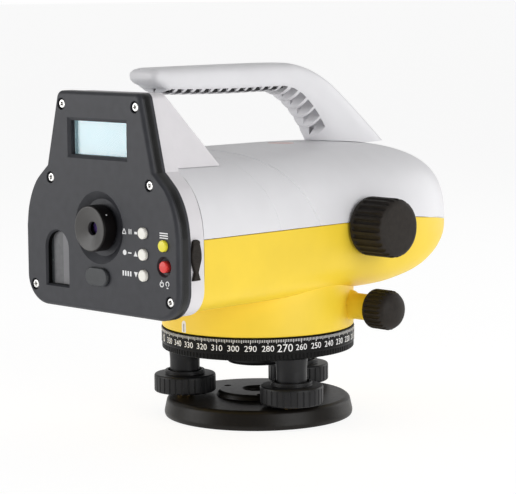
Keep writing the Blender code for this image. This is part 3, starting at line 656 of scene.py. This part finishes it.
def cover_form(name, count):
    """The cover's skin: two leaning lines cross it, and it swells a little in front of the second."""
    first, second = STATIONS[0], STATIONS[1]
    rings = [section(*first, count, level_ring)]
    for y in range(-96, -68, 7):
        rings.append(section(y, *first[1:], count, level_ring))
    for (seam, lean), profile in (
        (LINE_A, ((-6.0, 0.0), (-0.5, 0.0), (-0.2, 0.0034), (0.2, 0.0034), (0.5, 0.0), (6.0, 0.0))),
        (LINE_B, ((-6.0, 0.0), (-1.4, 0.0), (-0.9, -0.004), (0.0, -0.0055), (0.5, 0.003), (1.6, 0.0045),
                  (6.0, 0.0055), (14.0, 0.005))),
    ):
        for along, relief in profile:
            rings.append(section(seam + along, *second[1:], count,
                                 lambda rise, lean=lean, relief=relief: (lean * rise, relief)))
    for y, *rest in spline(STATIONS[2:], 5):
        fade = max(0.0, min(1.0, (60.0 - y) / 40.0))
        rings.append(section(y, *rest, count, lambda rise, fade=fade: (0.0, 0.005 * fade)))
    return loft(name, rings)


def seam_block(name, above):
    """Everything on one side of the seam, as a cutter extruded across the casing."""
    line = [(-101.5, 121.0), (40.0, 121.0), (70.0, 119.6), (95.0, 117.0), (124.0, 112.6)]
    gap = -0.2 if above else 0.2
    edge = 230.0 if above else 30.0
    outline = [(y, z + gap) for y, z in line] + [(line[-1][0], edge), (line[0][0], edge)]
    return plate(name, outline, -100, 100, ACROSS)


HOLES = {  # radius, start and end along the direction, direction, origin, facets
    "objective": (21.0, 105, 130, ALONG_Y, (0, 0, AXIS_Z), 96),
    "focus": (3.6, 50, 80, ALONG_X, (0, FOCUS_Y, FOCUS_Z), 32),
    "plug": (8.1, 150, 170, UP, PLUG_SPOT, 64),
    "shaft": (3.0, -90, 90, ALONG_X, (0, TANGENT_Y, TANGENT_Z), 32),
    "axis": (13.8, 50, 70, UP, (0, 0, 0), 64),
}


def holes(*names):
    return [rod(name + "_hole", *HOLES[name]) for name in names]


def casing():
    outer = casing_form("casing_outer", 0.0, 5, 144)
    inner = casing_form("casing_inner", WALL, 3, 96)

    housing = duplicate(outer, "yellow_housing")
    skirt = [(0, 92.0), (SKIRT_R, 92.0), (SKIRT_R, 59.6), (SKIRT_R - 0.4, 58.8), (0, 58.8)]
    join(housing, turned("skirt", skirt, steps=160))
    boss = [(0, 67.0), (7.2, 67.0), (7.5, 66.6), (7.5, 51.8), (7.9, 50.4), (8.8, 49.4), (8.8, 44.0), (0, 44.0)]
    for direction in (ALONG_X, FACING_LEFT):
        join(housing, turned("boss", boss, direction, (0, TANGENT_Y, TANGENT_Z), 64, soft=0.8))
    hollow = rod("skirt_hollow", 53.0, 61.3, 90.0, steps=96)
    door_hole = box("door_hole", (-70, -52.2, 92.8), (-50, 4.2, 116.2))
    cut(housing, duplicate(inner, "room"), hollow, *holes("shaft", "axis"), seam_block("above", True),
        *holes("objective", "focus"), door_hole)
    settle(housing, YELLOW, "alidade", "yellow_paint", "lower_housing", crease=28)

    cover = cover_form("grey_cover", 144)
    cut(cover, duplicate(inner, "room"), seam_block("below", False), *holes("objective", "focus", "plug"))
    settle(cover, GREY, "alidade", "grey_paint", "top_cover", crease=28)

    profile = [(0, 163.35), (5.0, 163.3), (7.7, 163.1), (7.9, 162.6), (7.9, 158.0), (0, 158.0)]
    plug = turned("cover_plug", profile, origin=PLUG_SPOT, steps=64)
    settle(plug, PLUG, "alidade", "grey_paint", "top_plug")

    door = duplicate(outer, "battery_flap_panel")
    cut(door, box("door_slab", DOOR_LOW, DOOR_HIGH), operation="INTERSECT")
    dent = [(0, 1.2), (3.4, 1.2), (2.6, -1.0), (0, -1.4)]
    cut(door, turned("door_grip", dent, FACING_LEFT, (-62.0, -24.0, 112.4), 48))
    settle(door, YELLOW, "battery_flap", "yellow_paint", "battery_door")

    for thing in (outer, inner):
        bpy.data.objects.remove(thing, do_unlink=True)

    arch = [(-1.75, 0.0), (1.75, 0.0)] + arc(0, 5.0, 1.75, 0, 180, 12)
    line = [(-0.22, 0.4), (0.22, 0.4), (0.22, 5.0), (-0.22, 5.0)]
    for name, outline, thick, material in (
        ("index_mark", arch, PRINT, INDEX_WHITE),
        ("index_line", line, PRINT * 1.6, BLACK_METAL),
    ):
        mark = plate(name, outline, 0.0, thick)
        mark.data.transform(Matrix.Scale(1 / MM, 4))
        wrap(mark.data, INDEX_ANGLE, SKIRT_R + 0.02, 59.4)
        mark.data.transform(Matrix.Scale(MM, 4))
        settle(mark, material, "alidade", "white_key")


# ---------------- eyepiece end


def panel_outline(sink):
    """Panel seen from the eyepiece side, as (x, z): a round-bottomed body and a tapering head."""
    corner = 16.5
    half = arc(PANEL_W - corner, 78.2 + corner, corner - sink, -90, 0, 14)
    shoulder = [(PANEL_W - sink, 122.0), (61.9 - sink, 131.5), (58.9 - sink * 0.95, 140.0),
                (54.2 - sink * 0.8, 147.4), (48.4 - sink * 0.7, 153.0 - sink * 0.4),
                (44.4 - sink, 156.4 - sink * 0.2)]
    half += spline(shoulder, 5)
    head = arc(31.1, 193.8, 4.0 - sink * 0.6, 10, 90, 8)
    half += [(x - sink * 0.4, z - sink * 0.4) for x, z in head]
    return half + [(-x, z) for x, z in reversed(half)]


def recess(name, middle, half, splay, depth):
    """A rectangular opening whose walls slope outwards to the panel's front."""
    rings = []
    for sink in (depth, -2.0):
        wide = splay * (depth - sink) / depth
        x, z = half[0] + wide, half[1] + wide
        corners = ((x, z), (-x, z), (-x, -z), (x, -z))
        rings.append([(middle[0] + a, PANEL_Y + sink, middle[1] + b) for a, b in corners])
    return loft(name, rings)


def arch_outline(radius, foot):
    """The bubble window: square below, semicircular above, as (x, z)."""
    points = arc(BUBBLE_X, BUBBLE_Z, radius, 0, 180, 28)
    return points + [(BUBBLE_X - radius, foot), (BUBBLE_X + radius, foot)]


def facing(name, outline, low, high, edge=0.0):
    """An (x, z) outline standing in the panel's plane, from low to high outwards."""
    return plate(name, outline, low, high, FACING_REAR, (0, PANEL_Y, 0), edge)


def on_panel(name, profile, x, z, steps, closed=False, soft=0.0):
    """A turned form standing on the panel's face, with its heights outwards from the face."""
    return turned(name, profile, FACING_REAR, (x, PANEL_Y, z), steps, closed, soft)


def shaft_hole(name, radius, x, z, outer, steps):
    return rod(name, radius, -30, outer, FACING_REAR, (x, PANEL_Y, z), steps)


def panel_screw(number, x, z):
    screw = on_panel(
        f"cross_screw_{number}",
        [(0, -1.5), (0.95, -1.5), (1.15, -0.5), (2.1, -0.55), (2.45, -0.9), (2.45, -1.7), (1.25, -1.7),
         (1.25, -8.0), (0, -8.0)],
        x, z, 48, soft=0.12,
    )
    turn = Matrix.Rotation(radians(17 + 31 * number), 4, "Y")  # each screw has stopped at its own angle
    for wide, tall in ((1.5, 0.36), (0.36, 1.5)):
        slot = box("slot", (-wide, -1, -tall), (wide, 2.0, tall))
        slot.matrix_world = Matrix.Translation(Vector((x, PANEL_Y + 0.3, z)) * MM) @ turn
        cut(screw, slot)
    settle(screw, STEEL, "alidade", "steel", f"panel_screw_{number}")


def eyepiece_panel():
    rings = []
    for step in range(7):
        swing = pi / 2 * step / 6
        depth = 2.7 * (1 - cos(swing))
        rings.append([(x, PANEL_Y + depth, z) for x, z in panel_outline(2.6 * (1 - sin(swing)))])
    rings.append([(x, PANEL_BACK, z) for x, z in panel_outline(0.0)])
    panel = loft("eyepiece_panel", rings)
    power_x, power_z = BUTTONS["button_power"]
    tools = [
        facing("panel_hollow", panel_outline(3.0), -25.0, -5.0),
        on_panel("eyepiece_dish", [(0, 2.0), (22.8, 2.0), (15.6, -2.8), (0, -2.8)], 0, AXIS_Z, 128),
        shaft_hole("eye_hole", 11.0, 0, AXIS_Z, 20, 96),
        box("display_hole", (-23.6, -125, 163.2), (22.2, -100, 181.8)),
        recess("display_splay", (-0.7, 172.5), (22.9, 9.3), 1.8, 1.2),
        facing("bubble_hole", arch_outline(9.3, 90.2), -20.0, 20.0),
        loft("bubble_splay", [[(x, PANEL_Y + sink, z) for x, z in arch_outline(9.3 + grow, 90.2 - grow)]
                              for sink, grow in ((1.2, 0.0), (-1.0, 1.6))]),
        on_panel("power_recess", [(0, 1.0), (6.2, 1.0), (5.3, -0.4), (4.6, -1.6), (3.6, -2.0), (0, -2.0)],
                 power_x, power_z, 64),
    ]
    for x, z in BUTTONS.values():
        tools.append(shaft_hole("key_hole", 3.35, x, z, 20, 48))
    spots = [(side * x, z) for x, z in SCREW_SPOTS for side in (-1, 1)]
    for number, (x, z) in enumerate(spots, 1):
        well = [(0, 4), (3.6, 4), (3.5, 0.2), (3.2, -0.3), (3.2, -1.9), (0, -1.9)]
        tools.append(on_panel("screw_well", well, x, z, 48))
        tools.append(shaft_hole("screw_shank", 1.6, x, z, 4, 24))
        panel_screw(number, x, z)
    cut(panel, *tools)
    settle(panel, CHARCOAL, "alidade", "charcoal", "front_panel", crease=25)

    # A darker, glossier skin over the panel's edge: painted shade on the side band, with a glossier finish
    band = []
    for sink, step in ((1.15, 0.55), (0.45, 1.25), (0.02, 2.3), (-0.06, 4.6), (0.0, 7.0), (0.35, 8.1)):
        band.append([(x, PANEL_Y + step, z) for x, z in panel_outline(sink)])
    inner = [[(x, PANEL_Y + step, z) for x, z in panel_outline(1.7)] for step in (8.1, 0.95)]
    settle(loft("panel_rim", band + inner, hoop=True), SHADED_RIM, "alidade", "charcoal")


def hood_form(name, sink, rear):
    """Wedge behind the display: an upright trapezium at the panel, running down to the cover."""
    foot = 145.0
    stations = (
        (rear, 31.9, 42.4, 197.3),
        (-99.0 - sink * 0.5, 31.4, 42.6, 197.3),
        (-66.2 - sink * 1.2, 41.0, 42.8, 156.4),
        (-60.0 - sink * 1.2, 42.4, 42.9, 149.0),
    )
    rings = []
    for y, top_w, low_w, top in stations:
        high = top - sink
        t, w = top_w - sink, low_w - sink
        half = [(w, foot)] + softened([(w, foot), (t, high), (0, high)], 3.0, steps=6)[1:-1]
        full = half + [(-x, z) for x, z in reversed(half)]
        rings.append([(x, y, z) for x, z in full])
    return loft(name, rings)


def rear_housing():
    ring = plate("silver_ring", panel_outline(1.1), -REAR_Y - 0.15, -PANEL_BACK - 0.3, FACING_REAR)
    hood = hood_form("hood", 0.0, -110.6)
    cut(hood, casing_form("hood_gap", -0.35, 5, 144))
    join(ring, hood)
    cut(
        ring,
        facing("ring_hollow", panel_outline(4.4), -29.0, -1.0),
        hood_form("hood_hollow", 2.4, -125.0),
        casing_form("casing_inner_again", WALL, 3, 96),
        casing_form("casing_outer_again", 0.0, 5, 144),
        box("port_hole", (50, -107.9, 112.2), (70, -104.3, 116.4)),
    )
    settle(ring, HOOD_GREY, "alidade", "grey_paint", "rear_housing", crease=28)


def printed(name, marks):
    """Flat generic symbols, each an (x, z) outline in the panel's plane."""
    things = [facing(f"{name}_{i}", outline, 0.0, PRINT) for i, outline in enumerate(marks)]
    mark = merged(name, things)
    settle(mark, PRINT_WHITE, "alidade", "white_key")


def symbols():
    """Key symbols: triangles, a dot, bars and a power sign in place of words."""
    def triangle(x, z, half, tall, width):
        outer = [(x - half, z), (x + half, z), (x, z + tall)]
        if not width:
            return [outer if tall > 0 else outer[::-1]]
        marks = []
        for i in range(3):
            a, b = Vector(outer[i]), Vector(outer[(i + 1) % 3])
            side = (b - a).normalized()
            out = Vector((side.y, -side.x)) * width / 2
            marks.append([tuple(a - out), tuple(a + out), tuple(b + out), tuple(b - out)])
        return marks

    def bar(x, z, wide, tall):
        return [(x - wide / 2, z - tall / 2), (x + wide / 2, z - tall / 2), (x + wide / 2, z + tall / 2),
                (x - wide / 2, z + tall / 2)]

    def band(x, z, radius, width, start, stop):
        outer = arc(x, z, radius, start, stop, 24)
        inner = arc(x, z, radius - width, start, stop, 24)
        return outer + inner[::-1]

    height, record, function = 124.3, 112.9, 101.7
    printed("height_symbol", triangle(20.6, height - 1.3, 1.5, 2.7, 0.55)
            + [bar(24.6 + 1.5 * i, height, 0.65, 2.7) for i in range(2)] + [bar(29.9, height - 0.4, 2.2, 1.3)])
    printed("record_symbol", [arc(20.8, record, 1.45, 0, 345, 22), bar(24.9, record, 2.8, 0.7)]
            + triangle(29.6, record - 1.5, 1.5, 2.8, 0))
    printed("function_symbol", [bar(19.4 + 2.0 * i, function, 1.15, 2.7) for i in range(4)]
            + triangle(29.6, function + 1.3, 1.5, -2.8, 0))
    printed("menu_symbol", [bar(52.0, 124.1 + 1.25 * (i - 1), 6.4, 0.62) for i in range(3)])
    printed("power_symbol", [band(50.0, 98.3, 1.55, 0.55, 115, 425), bar(50.0, 99.6, 0.55, 1.9),
                             band(54.4, 98.8, 1.45, 0.55, -60, 240), bar(54.4, 96.6, 1.4, 0.6)])


def panel_fittings():
    window = box("display_glass", (-23.4, -116.0, 163.4), (22.0, -114.9, 181.6))
    settle(window, CLEAR, "alidade", "glass", "display_window")
    screen = box("display_cell", (-25.0, -114.5, 160.4), (25.0, -108.6, 184.6))
    settle(screen, LCD_PAINTED_GLOW, "alidade", "lcd", "lcd_module")
    pane = facing("bubble_pane", arch_outline(9.15, 90.4), -4.6, -3.6)
    settle(pane, SMOKED, "alidade", "glass", "bubble_window")
    # Painted reflections on the glass: a light band on the right and a dark band on the left
    right, left = arc(BUBBLE_X, BUBBLE_Z, 9.0, 0, 83, 14), arc(BUBBLE_X, BUBBLE_Z, 9.0, 140, 180, 8)
    light_reflection = facing("window_painted_light_reflection", right + [(-34.9, 90.6), (-27.0, 90.6)], -3.6, -3.55)
    settle(light_reflection, PAINTED_LIGHT_REFLECTION, "alidade", "glass")
    dark_reflection = facing("window_painted_dark_reflection", left + [(-45.0, 90.6), (-42.9, 90.6)], -3.6, -3.55)
    settle(dark_reflection, PAINTED_DARK_REFLECTION, "alidade", "glass")
    # A thin black sleeve on the recess's walls: painted shade
    walls = []
    for radius, foot, step in ((9.28, 90.22, 1.5), (9.28, 90.22, 4.9), (9.1, 90.4, 4.9), (9.1, 90.4, 1.5)):
        walls.append([(x, PANEL_Y + step, z) for x, z in arch_outline(radius, foot)])
    settle(loft("bubble_recess_shade_sleeve", walls, hoop=True), PAINTED_RECESS_SHADE, "alidade", "charcoal")

    cap = arc(4.1, 0, 5.0, -90, 90, 20) + arc(-4.1, 0, 5.0, 90, 270, 20)
    pill = plate("reticle_plug", cap, 0.25, 2.05, FACING_REAR, (-1.1, PANEL_Y, 97.9), edge=0.9)
    settle(pill, SOFT_PLASTIC, "alidade", "knob_rubber", "reticle_cover")

    looks = {"button_menu": (YELLOW_KEY, "yellow_key"), "button_power": (RED_KEY, "red_key")}
    for name, (x, z) in BUTTONS.items():
        material, slot = looks.get(name, (WHITE_KEY, "white_key"))
        high = 1.2 if name == "button_power" else 1.9
        profile = [(0, high), (1.6, high - 0.06)]
        for a in (0.0, 0.3, 0.6, 0.9, 1.2, pi / 2):
            profile.append((2.35 + 0.75 * sin(a), high - 0.9 + 0.75 * cos(a)))
        profile += [(3.1, -6.0), (4.4, -6.0), (4.4, -7.6), (0, -7.6)]
        key = on_panel(name.replace("button", "key"), profile, x, z, 64)
        settle(key, material, "key_" + name.split("_")[1], slot, name, crease=40)


def eyepiece():
    barrel = on_panel(
        "eyepiece_barrel",
        [(11.2, 6.9), (12.2, 6.9), (12.65, 6.4), (12.65, -1.6), (10.5, -2.2), (10.5, -9.0), (8.4, -9.0),
         (8.4, 1.6), (11.2, 2.6)],
        0, AXIS_Z, 128, True, 0.35,
    )
    settle(barrel, EYE_BLACK, "eyepiece", "black_metal", "eyepiece_ring")
    cone = [(3.7, 4.6), (11.6, 7.2), (12.1, 6.95), (12.0, 5.6), (3.7, 2.6)]
    settle(on_panel("eyepiece_face", cone, 0, AXIS_Z, 128, True, 0.25), EYE_SATIN, "eyepiece", "black_metal")
    dome = [(0, 1.2), (2.0, 1.05), (4.2, 0.4), (6.0, -0.8), (7.8, -2.4), (7.8, -20.0), (0, -20.0)]
    lens = on_panel("eyepiece_glass", dome, 0, AXIS_Z, 64, soft=0.2)
    settle(lens, LENS, "eyepiece_lens", "glass", "eyepiece_cell")
    dot = rod("dioptre_dot", 0.45, 12.6, 12.72, ALONG_X, (0, 0, 0), 16)
    dot.matrix_world = (Matrix.Translation(Vector((0, PANEL_Y - 3.2, AXIS_Z)) * MM)
                        @ Matrix.Rotation(radians(-38), 4, "Y") @ ALONG_X)
    settle(dot, PRINT_WHITE, "eyepiece", "white_key")


# ---------------- handle


# The bar's line above and below, as (y, z), and its half width along the way
HANDLE_TOP = [(-88, 206.8), (-87.2, 208.3), (-84.3, 209.6), (-30, 209.9), (12, 209.7), (26, 208.6),
              (40, 204.6), (53.6, 197.6), (67, 187.6), (82, 175.4), (99.7, 160.6)]
HANDLE_UNDER = [(-88, 202.4), (-86.9, 199.6), (-82.5, 195.2), (-30, 193.4), (4, 193.3), (14, 191.4),
                (22, 187.2), (29.4, 181.6), (35.4, 175.6), (40.4, 169.2), (45.6, 161.0)]
HANDLE_WIDTHS = (10.2, 11.4, 12.2, 12.2, 12.2, 12.2, 12.5, 13.1, 13.9, 14.8, 15.5)
HANDLE_STEPS = 6  # rings between two of the points above
GRIP_START = -76.0  # the ribs begin here, behind the post
NOSE = (  # sections of the bar's rounded front: y and z above, y and z below, half width
    (-88.0, 205.7, -88.0, 203.9, 7.6),
    (-87.7, 207.2, -87.6, 202.3, 9.4),
    (-86.9, 208.5, -86.6, 200.9, 10.8),
    (-85.4, 209.3, -84.8, 199.7, 11.7),
    (-83.4, 209.65, -82.6, 199.0, 12.1),
)


def blend(value, low, high):
    """How far a value has come from low to high, as a smooth share from 0 to 1."""
    share = min(max((value - low) / (high - low), 0.0), 1.0)
    return share * share * (3 - 2 * share)


def handle_ring(top, under, wide, rounder, count):
    """One ring of the bar: squarish above, and as round below as the share given."""
    middle = Vector((0, (top[0] + under[0]) / 2, (top[1] + under[1]) / 2))
    half = Vector((0, (top[0] - under[0]) / 2, (top[1] - under[1]) / 2))
    ring = []
    for i in range(count):
        angle = 2 * pi * i / count
        c, s = cos(angle), sin(angle)
        share = rounder if s < 0 else 0.0
        x = wide * abs(c) ** (0.62 + 0.38 * share) * (1 if c >= 0 else -1)
        rise = abs(s) ** (0.7 + 0.3 * share) * (1 if s >= 0 else -1)
        ring.append(middle + Vector((x, 0, 0)) + half * rise)
    return ring


def grip_frames():
    """Places along the bar's underside, one for each gap between two ribs: y, z and the gap's lean."""
    under = spline(HANDLE_UNDER, 60)
    frames = []
    path = -1.0
    for before, here in zip(under, under[1:]):
        if here[0] < GRIP_START:
            continue
        path += (Vector(here) - Vector(before)).length
        if path >= 6.3 + 1.6 * blend(here[0], 5.0, 28.0) or not frames:
            frames.append((here[0], here[1], radians(8 + 18 * blend(here[0], -8.0, 24.0))))
            path = 0.0
    return [frame for frame in frames if frame[1] > 166.0]


def grip_slab(frame, thick):
    """A slab right across the handle, in the leaning plane of one of its gaps."""
    y, z, lean = frame
    made = plate("grip_gap", [(-30, -20), (30, -20), (30, 30), (-30, 30)], -thick / 2, thick / 2)
    made.matrix_world = Matrix.Translation(Vector((0, y, z)) * MM) @ Matrix.Rotation(pi / 2 - lean, 4, "X")
    return made


def handle():
    top, under = spline(HANDLE_TOP, HANDLE_STEPS), spline(HANDLE_UNDER, HANDLE_STEPS)
    widths = [wide for wide, _ in spline([(wide, 0) for wide in HANDLE_WIDTHS], HANDLE_STEPS)]
    rings = []
    for ya, za, yb, zb, wide in NOSE:
        rings.append(handle_ring((ya, za), (yb, zb), wide, 0.3, 64))
    for a, b, wide in zip(top, under, widths):
        if b[0] > -80.5:
            rings.append(handle_ring(a, b, wide, 0.3 + 0.7 * blend(b[0], 2.0, 26.0), 64))
    bar = loft("carrying_handle", rings)
    cut(bar, box("nose_clearance", (-20.0, -95.0, 185.0), (20.0, -78.5, 198.2)))
    join(bar, box("handle_post", (-5.0, -78.4, 160.0), (5.0, -74.0, 197.0)))

    # Room in the bar's underside that the ribs divide, a dark sheet above it that paints the shade in the
    # gaps, and a notch along the middle
    frames = grip_frames()
    below, shade_sheet, notch = [], [], []
    for y, z, lean in [(-79.5, 193.3, frames[0][2])] + frames + [(45.4, 161.2, frames[-1][2])]:
        bend = blend(y, 2.0, 26.0)
        reach, inner = 3.3 + 3.4 * bend, 9.6 + 1.4 * bend
        foot, up = Vector((0, y, z)), Vector((0, sin(lean), cos(lean)))
        below.append([foot + up * h + Vector((x, 0, 0)) for x, h in (
            (-20, -9), (20, -9), (20, reach), (inner, reach), (inner - 1.2, reach + 5),
            (1.2 - inner, reach + 5), (-inner, reach), (-20, reach))])
        low, side = 1.2 + 5.2 * bend, inner - 0.8
        if GRIP_START < y < 14.0:
            shade_sheet.append([foot + up * h + Vector((x, 0, 0)) for x, h in (
                (-side, low), (side, low), (side - 1.5, reach + 5.5), (1.5 - side, reach + 5.5))])
        wide = Vector((3.6, 0, 0))
        notch.append([foot + up * 1.6, foot + up * 9.0 + wide, foot + up * 9.0 - wide])
    room = loft("grip_room", below)
    for place_of_gap in frames:
        gap = grip_slab(place_of_gap, 4.5 + 1.5 * blend(place_of_gap[0], 4.0, 26.0))
        boolean(gap, [room], "INTERSECT")
        cut(bar, gap)
    bpy.data.objects.remove(room, do_unlink=True)
    cut(bar, loft("grip_notch", notch))
    # painted shade: the dark sheet in the straight part's gaps
    settle(loft("handle_painted_shade_sheet", shade_sheet), GRIP_PAINTED_SHADE, "alidade", "charcoal")
    cut(bar, box("parting_mark", (-4.2, -86.6, 208.6), (-2.4, -85.9, 211.0)))
    cut(bar, hood_form("hood_clearance", -0.35, -125.0), casing_form("cover_clearance", -0.35, 4, 96))
    settle(bar, GREY, "alidade", "grey_paint", "handle", crease=38)


# ---------------- knobs and optics


def knobs():
    spot = (0, FOCUS_Y, FOCUS_Z)
    knob = turned(
        "focusing_knob",
        [(0, 87.15), (8.4, 87.1), (14.0, 86.8), (15.9, 85.7), (FOCUS_R, 83.2), (FOCUS_R, 64.5), (16.2, 63.7),
         (3.3, 63.7), (3.3, 80.0), (0, 80.0)],
        ALONG_X, spot, 144, soft=0.9,
    )
    cut(knob, flutes("focus_grooves", 24, FOCUS_R + 0.2, 1.6, 65.6, 92.0, ALONG_X, spot, 10))
    settle(knob, RUBBER, "focus", "knob_rubber", "focus_knob")

    for side, direction in (("right", ALONG_X), ("left", FACING_LEFT)):
        spot = (0, TANGENT_Y, TANGENT_Z)
        dome = [(10.2 * sin(radians(a)), 80.6 + 3.95 * cos(radians(a))) for a in range(0, 90, 10)]
        knob = turned(
            f"tangent_grip_{side}",
            dome + [(10.8, 80.0), (TANGENT_R, 79.2), (TANGENT_R, 68.2), (10.6, 67.3), (2.7, 67.3), (2.7, 79.2),
                    (0, 79.2)],
            direction, spot, 120, soft=0.3,
        )
        cut(knob, flutes(f"tangent_grooves_{side}", 24, TANGENT_R + 0.1, 1.05, 69.0, 92.0, direction, spot))
        settle(knob, RUBBER, "tangent", "knob_rubber", f"tangent_knob_{side}")


def objective():
    spot = (0, 0, AXIS_Z)
    ring = turned(
        "objective_bezel",
        [(18.4, 118.2), (19.0, 118.6), (20.2, 118.6), (20.7, 117.9), (20.7, 112.0), (18.4, 112.0)],
        ALONG_Y, spot, 128, closed=True, soft=0.25,
    )
    settle(ring, BLACK_METAL, "alidade", "black_metal", "objective_ring")
    rim, bulge, steepest = 18.0, 30.0, radians(30)
    dome = []
    for a in range(0, 31, 3):
        dome.append((rim * sin(radians(a)) / sin(steepest), 77.6 + bulge * cos(radians(a))))
    profile = dome + [(rim, 103.0), (rim, 97.0), (0, 97.0)]
    lens = turned("objective_glass", profile, ALONG_Y, spot, 96, soft=0)
    settle(lens, LENS, "alidade", "glass", "objective_lens")


def port_cover():
    half = spline([(0.9, 10.8), (2.3, 9.8), (2.5, 7.9), (3.3, 4.2), (3.3, 0.2), (1.6, -5.2), (1.3, -6.9),
                   (2.6, -10.8)], 5)
    outline = [(-x, z) for x, z in half] + [(x, z) for x, z in reversed(half)]
    flap = plate("port_flap_cover", outline, -1.0, 0.75, ACROSS, (PORT_X, PORT_Y, PORT_Z), edge=0.5)
    ribs = []
    for z, wide in ((8.4, 1.7), (4.4, 2.6), (2.4, 2.6), (0.4, 2.6), (-1.6, 2.1), (-8.6, 1.4)):
        low = (PORT_X + 0.5, PORT_Y - wide, PORT_Z - 0.4 + z)
        ribs.append(box("flap_rib", low, (PORT_X + 0.98, PORT_Y + wide, PORT_Z + 0.4 + z)))
    join(flap, merged("flap_ribs", ribs))
    settle(flap, RUBBER, "port_flap", "knob_rubber", "port_cover")


# ---------------- pieces kept from the frame


def repaint():
    """Finishes for the inner pieces, whose frame shapes are right as they are."""
    looks = {
        STEEL: ("centre_spindle", "bearing_bush", "tangent_shaft", "focus_shaft", "compensator_frame",
                "port_socket"),
        BRASS: ("worm_wheel", "compensator_pendulum", "foot_bush_1", "foot_bush_2", "foot_bush_3"),
        BOARD: ("main_board", "sensor_board"),
        BLACK_METAL: ("telescope_tube", "focus_cell"),
        CHARCOAL: ("battery_pack",),
        MIRROR: ("bubble_mirror",),
        CLEAR: ("beam_splitter",),
        VIAL: ("circular_level",),
    }
    for material, names in looks.items():
        for name in names:
            mesh = frame["nodes"][name].data
            mesh.materials.clear()
            mesh.materials.append(material)
            smooth(mesh, 35)


# ---------------- stage


def stage():
    bpy.ops.mesh.primitive_plane_add(size=80.0, location=(0, 0, CAD_BOX[0].z - 0.0002))
    floor = bpy.context.object
    floor.name = "floor"
    white = bpy.data.materials.new("studio_white")
    white.use_nodes = True
    shader = white.node_tree.nodes["Principled BSDF"]
    put(shader, {"Base Color": (0.2, 0.2, 0.2, 1), "Roughness": 0.9, "Specular IOR Level": 0.1,
                 "Emission Color": (1, 1, 1, 1), "Emission Strength": 0.87})
    floor.data.materials.append(white)

    # White behind the object, and a dimmer room on the viewer's side of it
    world = bpy.data.worlds.new("studio")
    bpy.context.scene.world = world
    world.use_nodes = True
    nodes, links = world.node_tree.nodes, world.node_tree.links
    background = nodes["Background"]
    put(background, {"Color": (1.0, 1.0, 1.0, 1)})
    where = nodes.new("ShaderNodeTexCoord")
    facing_back = nodes.new("ShaderNodeVectorMath")
    facing_back.operation = "DOT_PRODUCT"
    facing_back.inputs[1].default_value = (-0.7, 0.7, 0.1)
    links.new(where.outputs["Generated"], facing_back.inputs[0])
    room = nodes.new("ShaderNodeMapRange")
    put(room, {"From Min": 0.2, "From Max": 0.9, "To Min": 0.14, "To Max": 0.7})
    links.new(facing_back.outputs["Value"], room.inputs["Value"])
    path = nodes.new("ShaderNodeLightPath")
    strength = nodes.new("ShaderNodeMix")
    put(strength, {"B": 1.0})
    links.new(path.outputs["Is Camera Ray"], strength.inputs["Factor"])
    links.new(room.outputs["Result"], strength.inputs["A"])
    links.new(strength.outputs["Result"], background.inputs["Strength"])

    def lamp(name, power, size, spot, aim):
        light = bpy.data.lights.new(name, "AREA")
        light.energy = power
        light.shape = "RECTANGLE"
        light.size, light.size_y = size
        thing = bpy.data.objects.new(name, light)
        bpy.context.scene.collection.objects.link(thing)
        thing.location = spot
        thing.rotation_euler = (Vector(aim) - Vector(spot)).to_track_quat("-Z", "Y").to_euler()

    middle = (0, 0, 0.12)
    lamp("key", 9.0, (0.9, 0.8), (1.35, -0.05, 0.40), middle)
    lamp("fill", 8.6, (0.9, 0.8), (-0.85, -1.1, 0.42), middle)
    lamp("end", 3.6, (0.8, 0.8), (0.3, 1.35, 0.4), middle)
    lamp("top", 1.6, (0.9, 0.9), (0.25, 0.1, 1.2), middle)


def camera():
    """The viewpoint: 45 degrees to the right of the eyepiece end and a little above the instrument."""
    azimuth, roll = radians(45.42), radians(-0.5)
    back = Vector((0.70741, -0.69723, 0.11595)).normalized()
    across = Vector((cos(azimuth), sin(azimuth), 0))
    upright = back.cross(across)
    right = across * cos(roll) + upright * sin(roll)
    top = -across * sin(roll) + upright * cos(roll)
    lens = bpy.data.cameras.new("camera")
    lens.lens = 148.61
    lens.sensor_width = 36.0
    lens.shift_x = 0.0020
    lens.shift_y = -0.0123
    lens.clip_start = 0.01
    view = bpy.data.objects.new("camera", lens)
    bpy.context.scene.collection.objects.link(view)
    turn = Matrix((right, top, back)).transposed().to_4x4()
    view.matrix_world = Matrix.Translation((0.87417, -0.86160, 0.25026 + DATUM)) @ turn
    bpy.context.scene.camera = view
    bpy.context.scene.view_settings.view_transform = "Standard"


camera()
base()
foot_screws()
tribrach()
circle()
casing()
eyepiece_panel()
rear_housing()
symbols()
panel_fittings()
eyepiece()
handle()
knobs()
objective()
port_cover()
repaint()
stage()
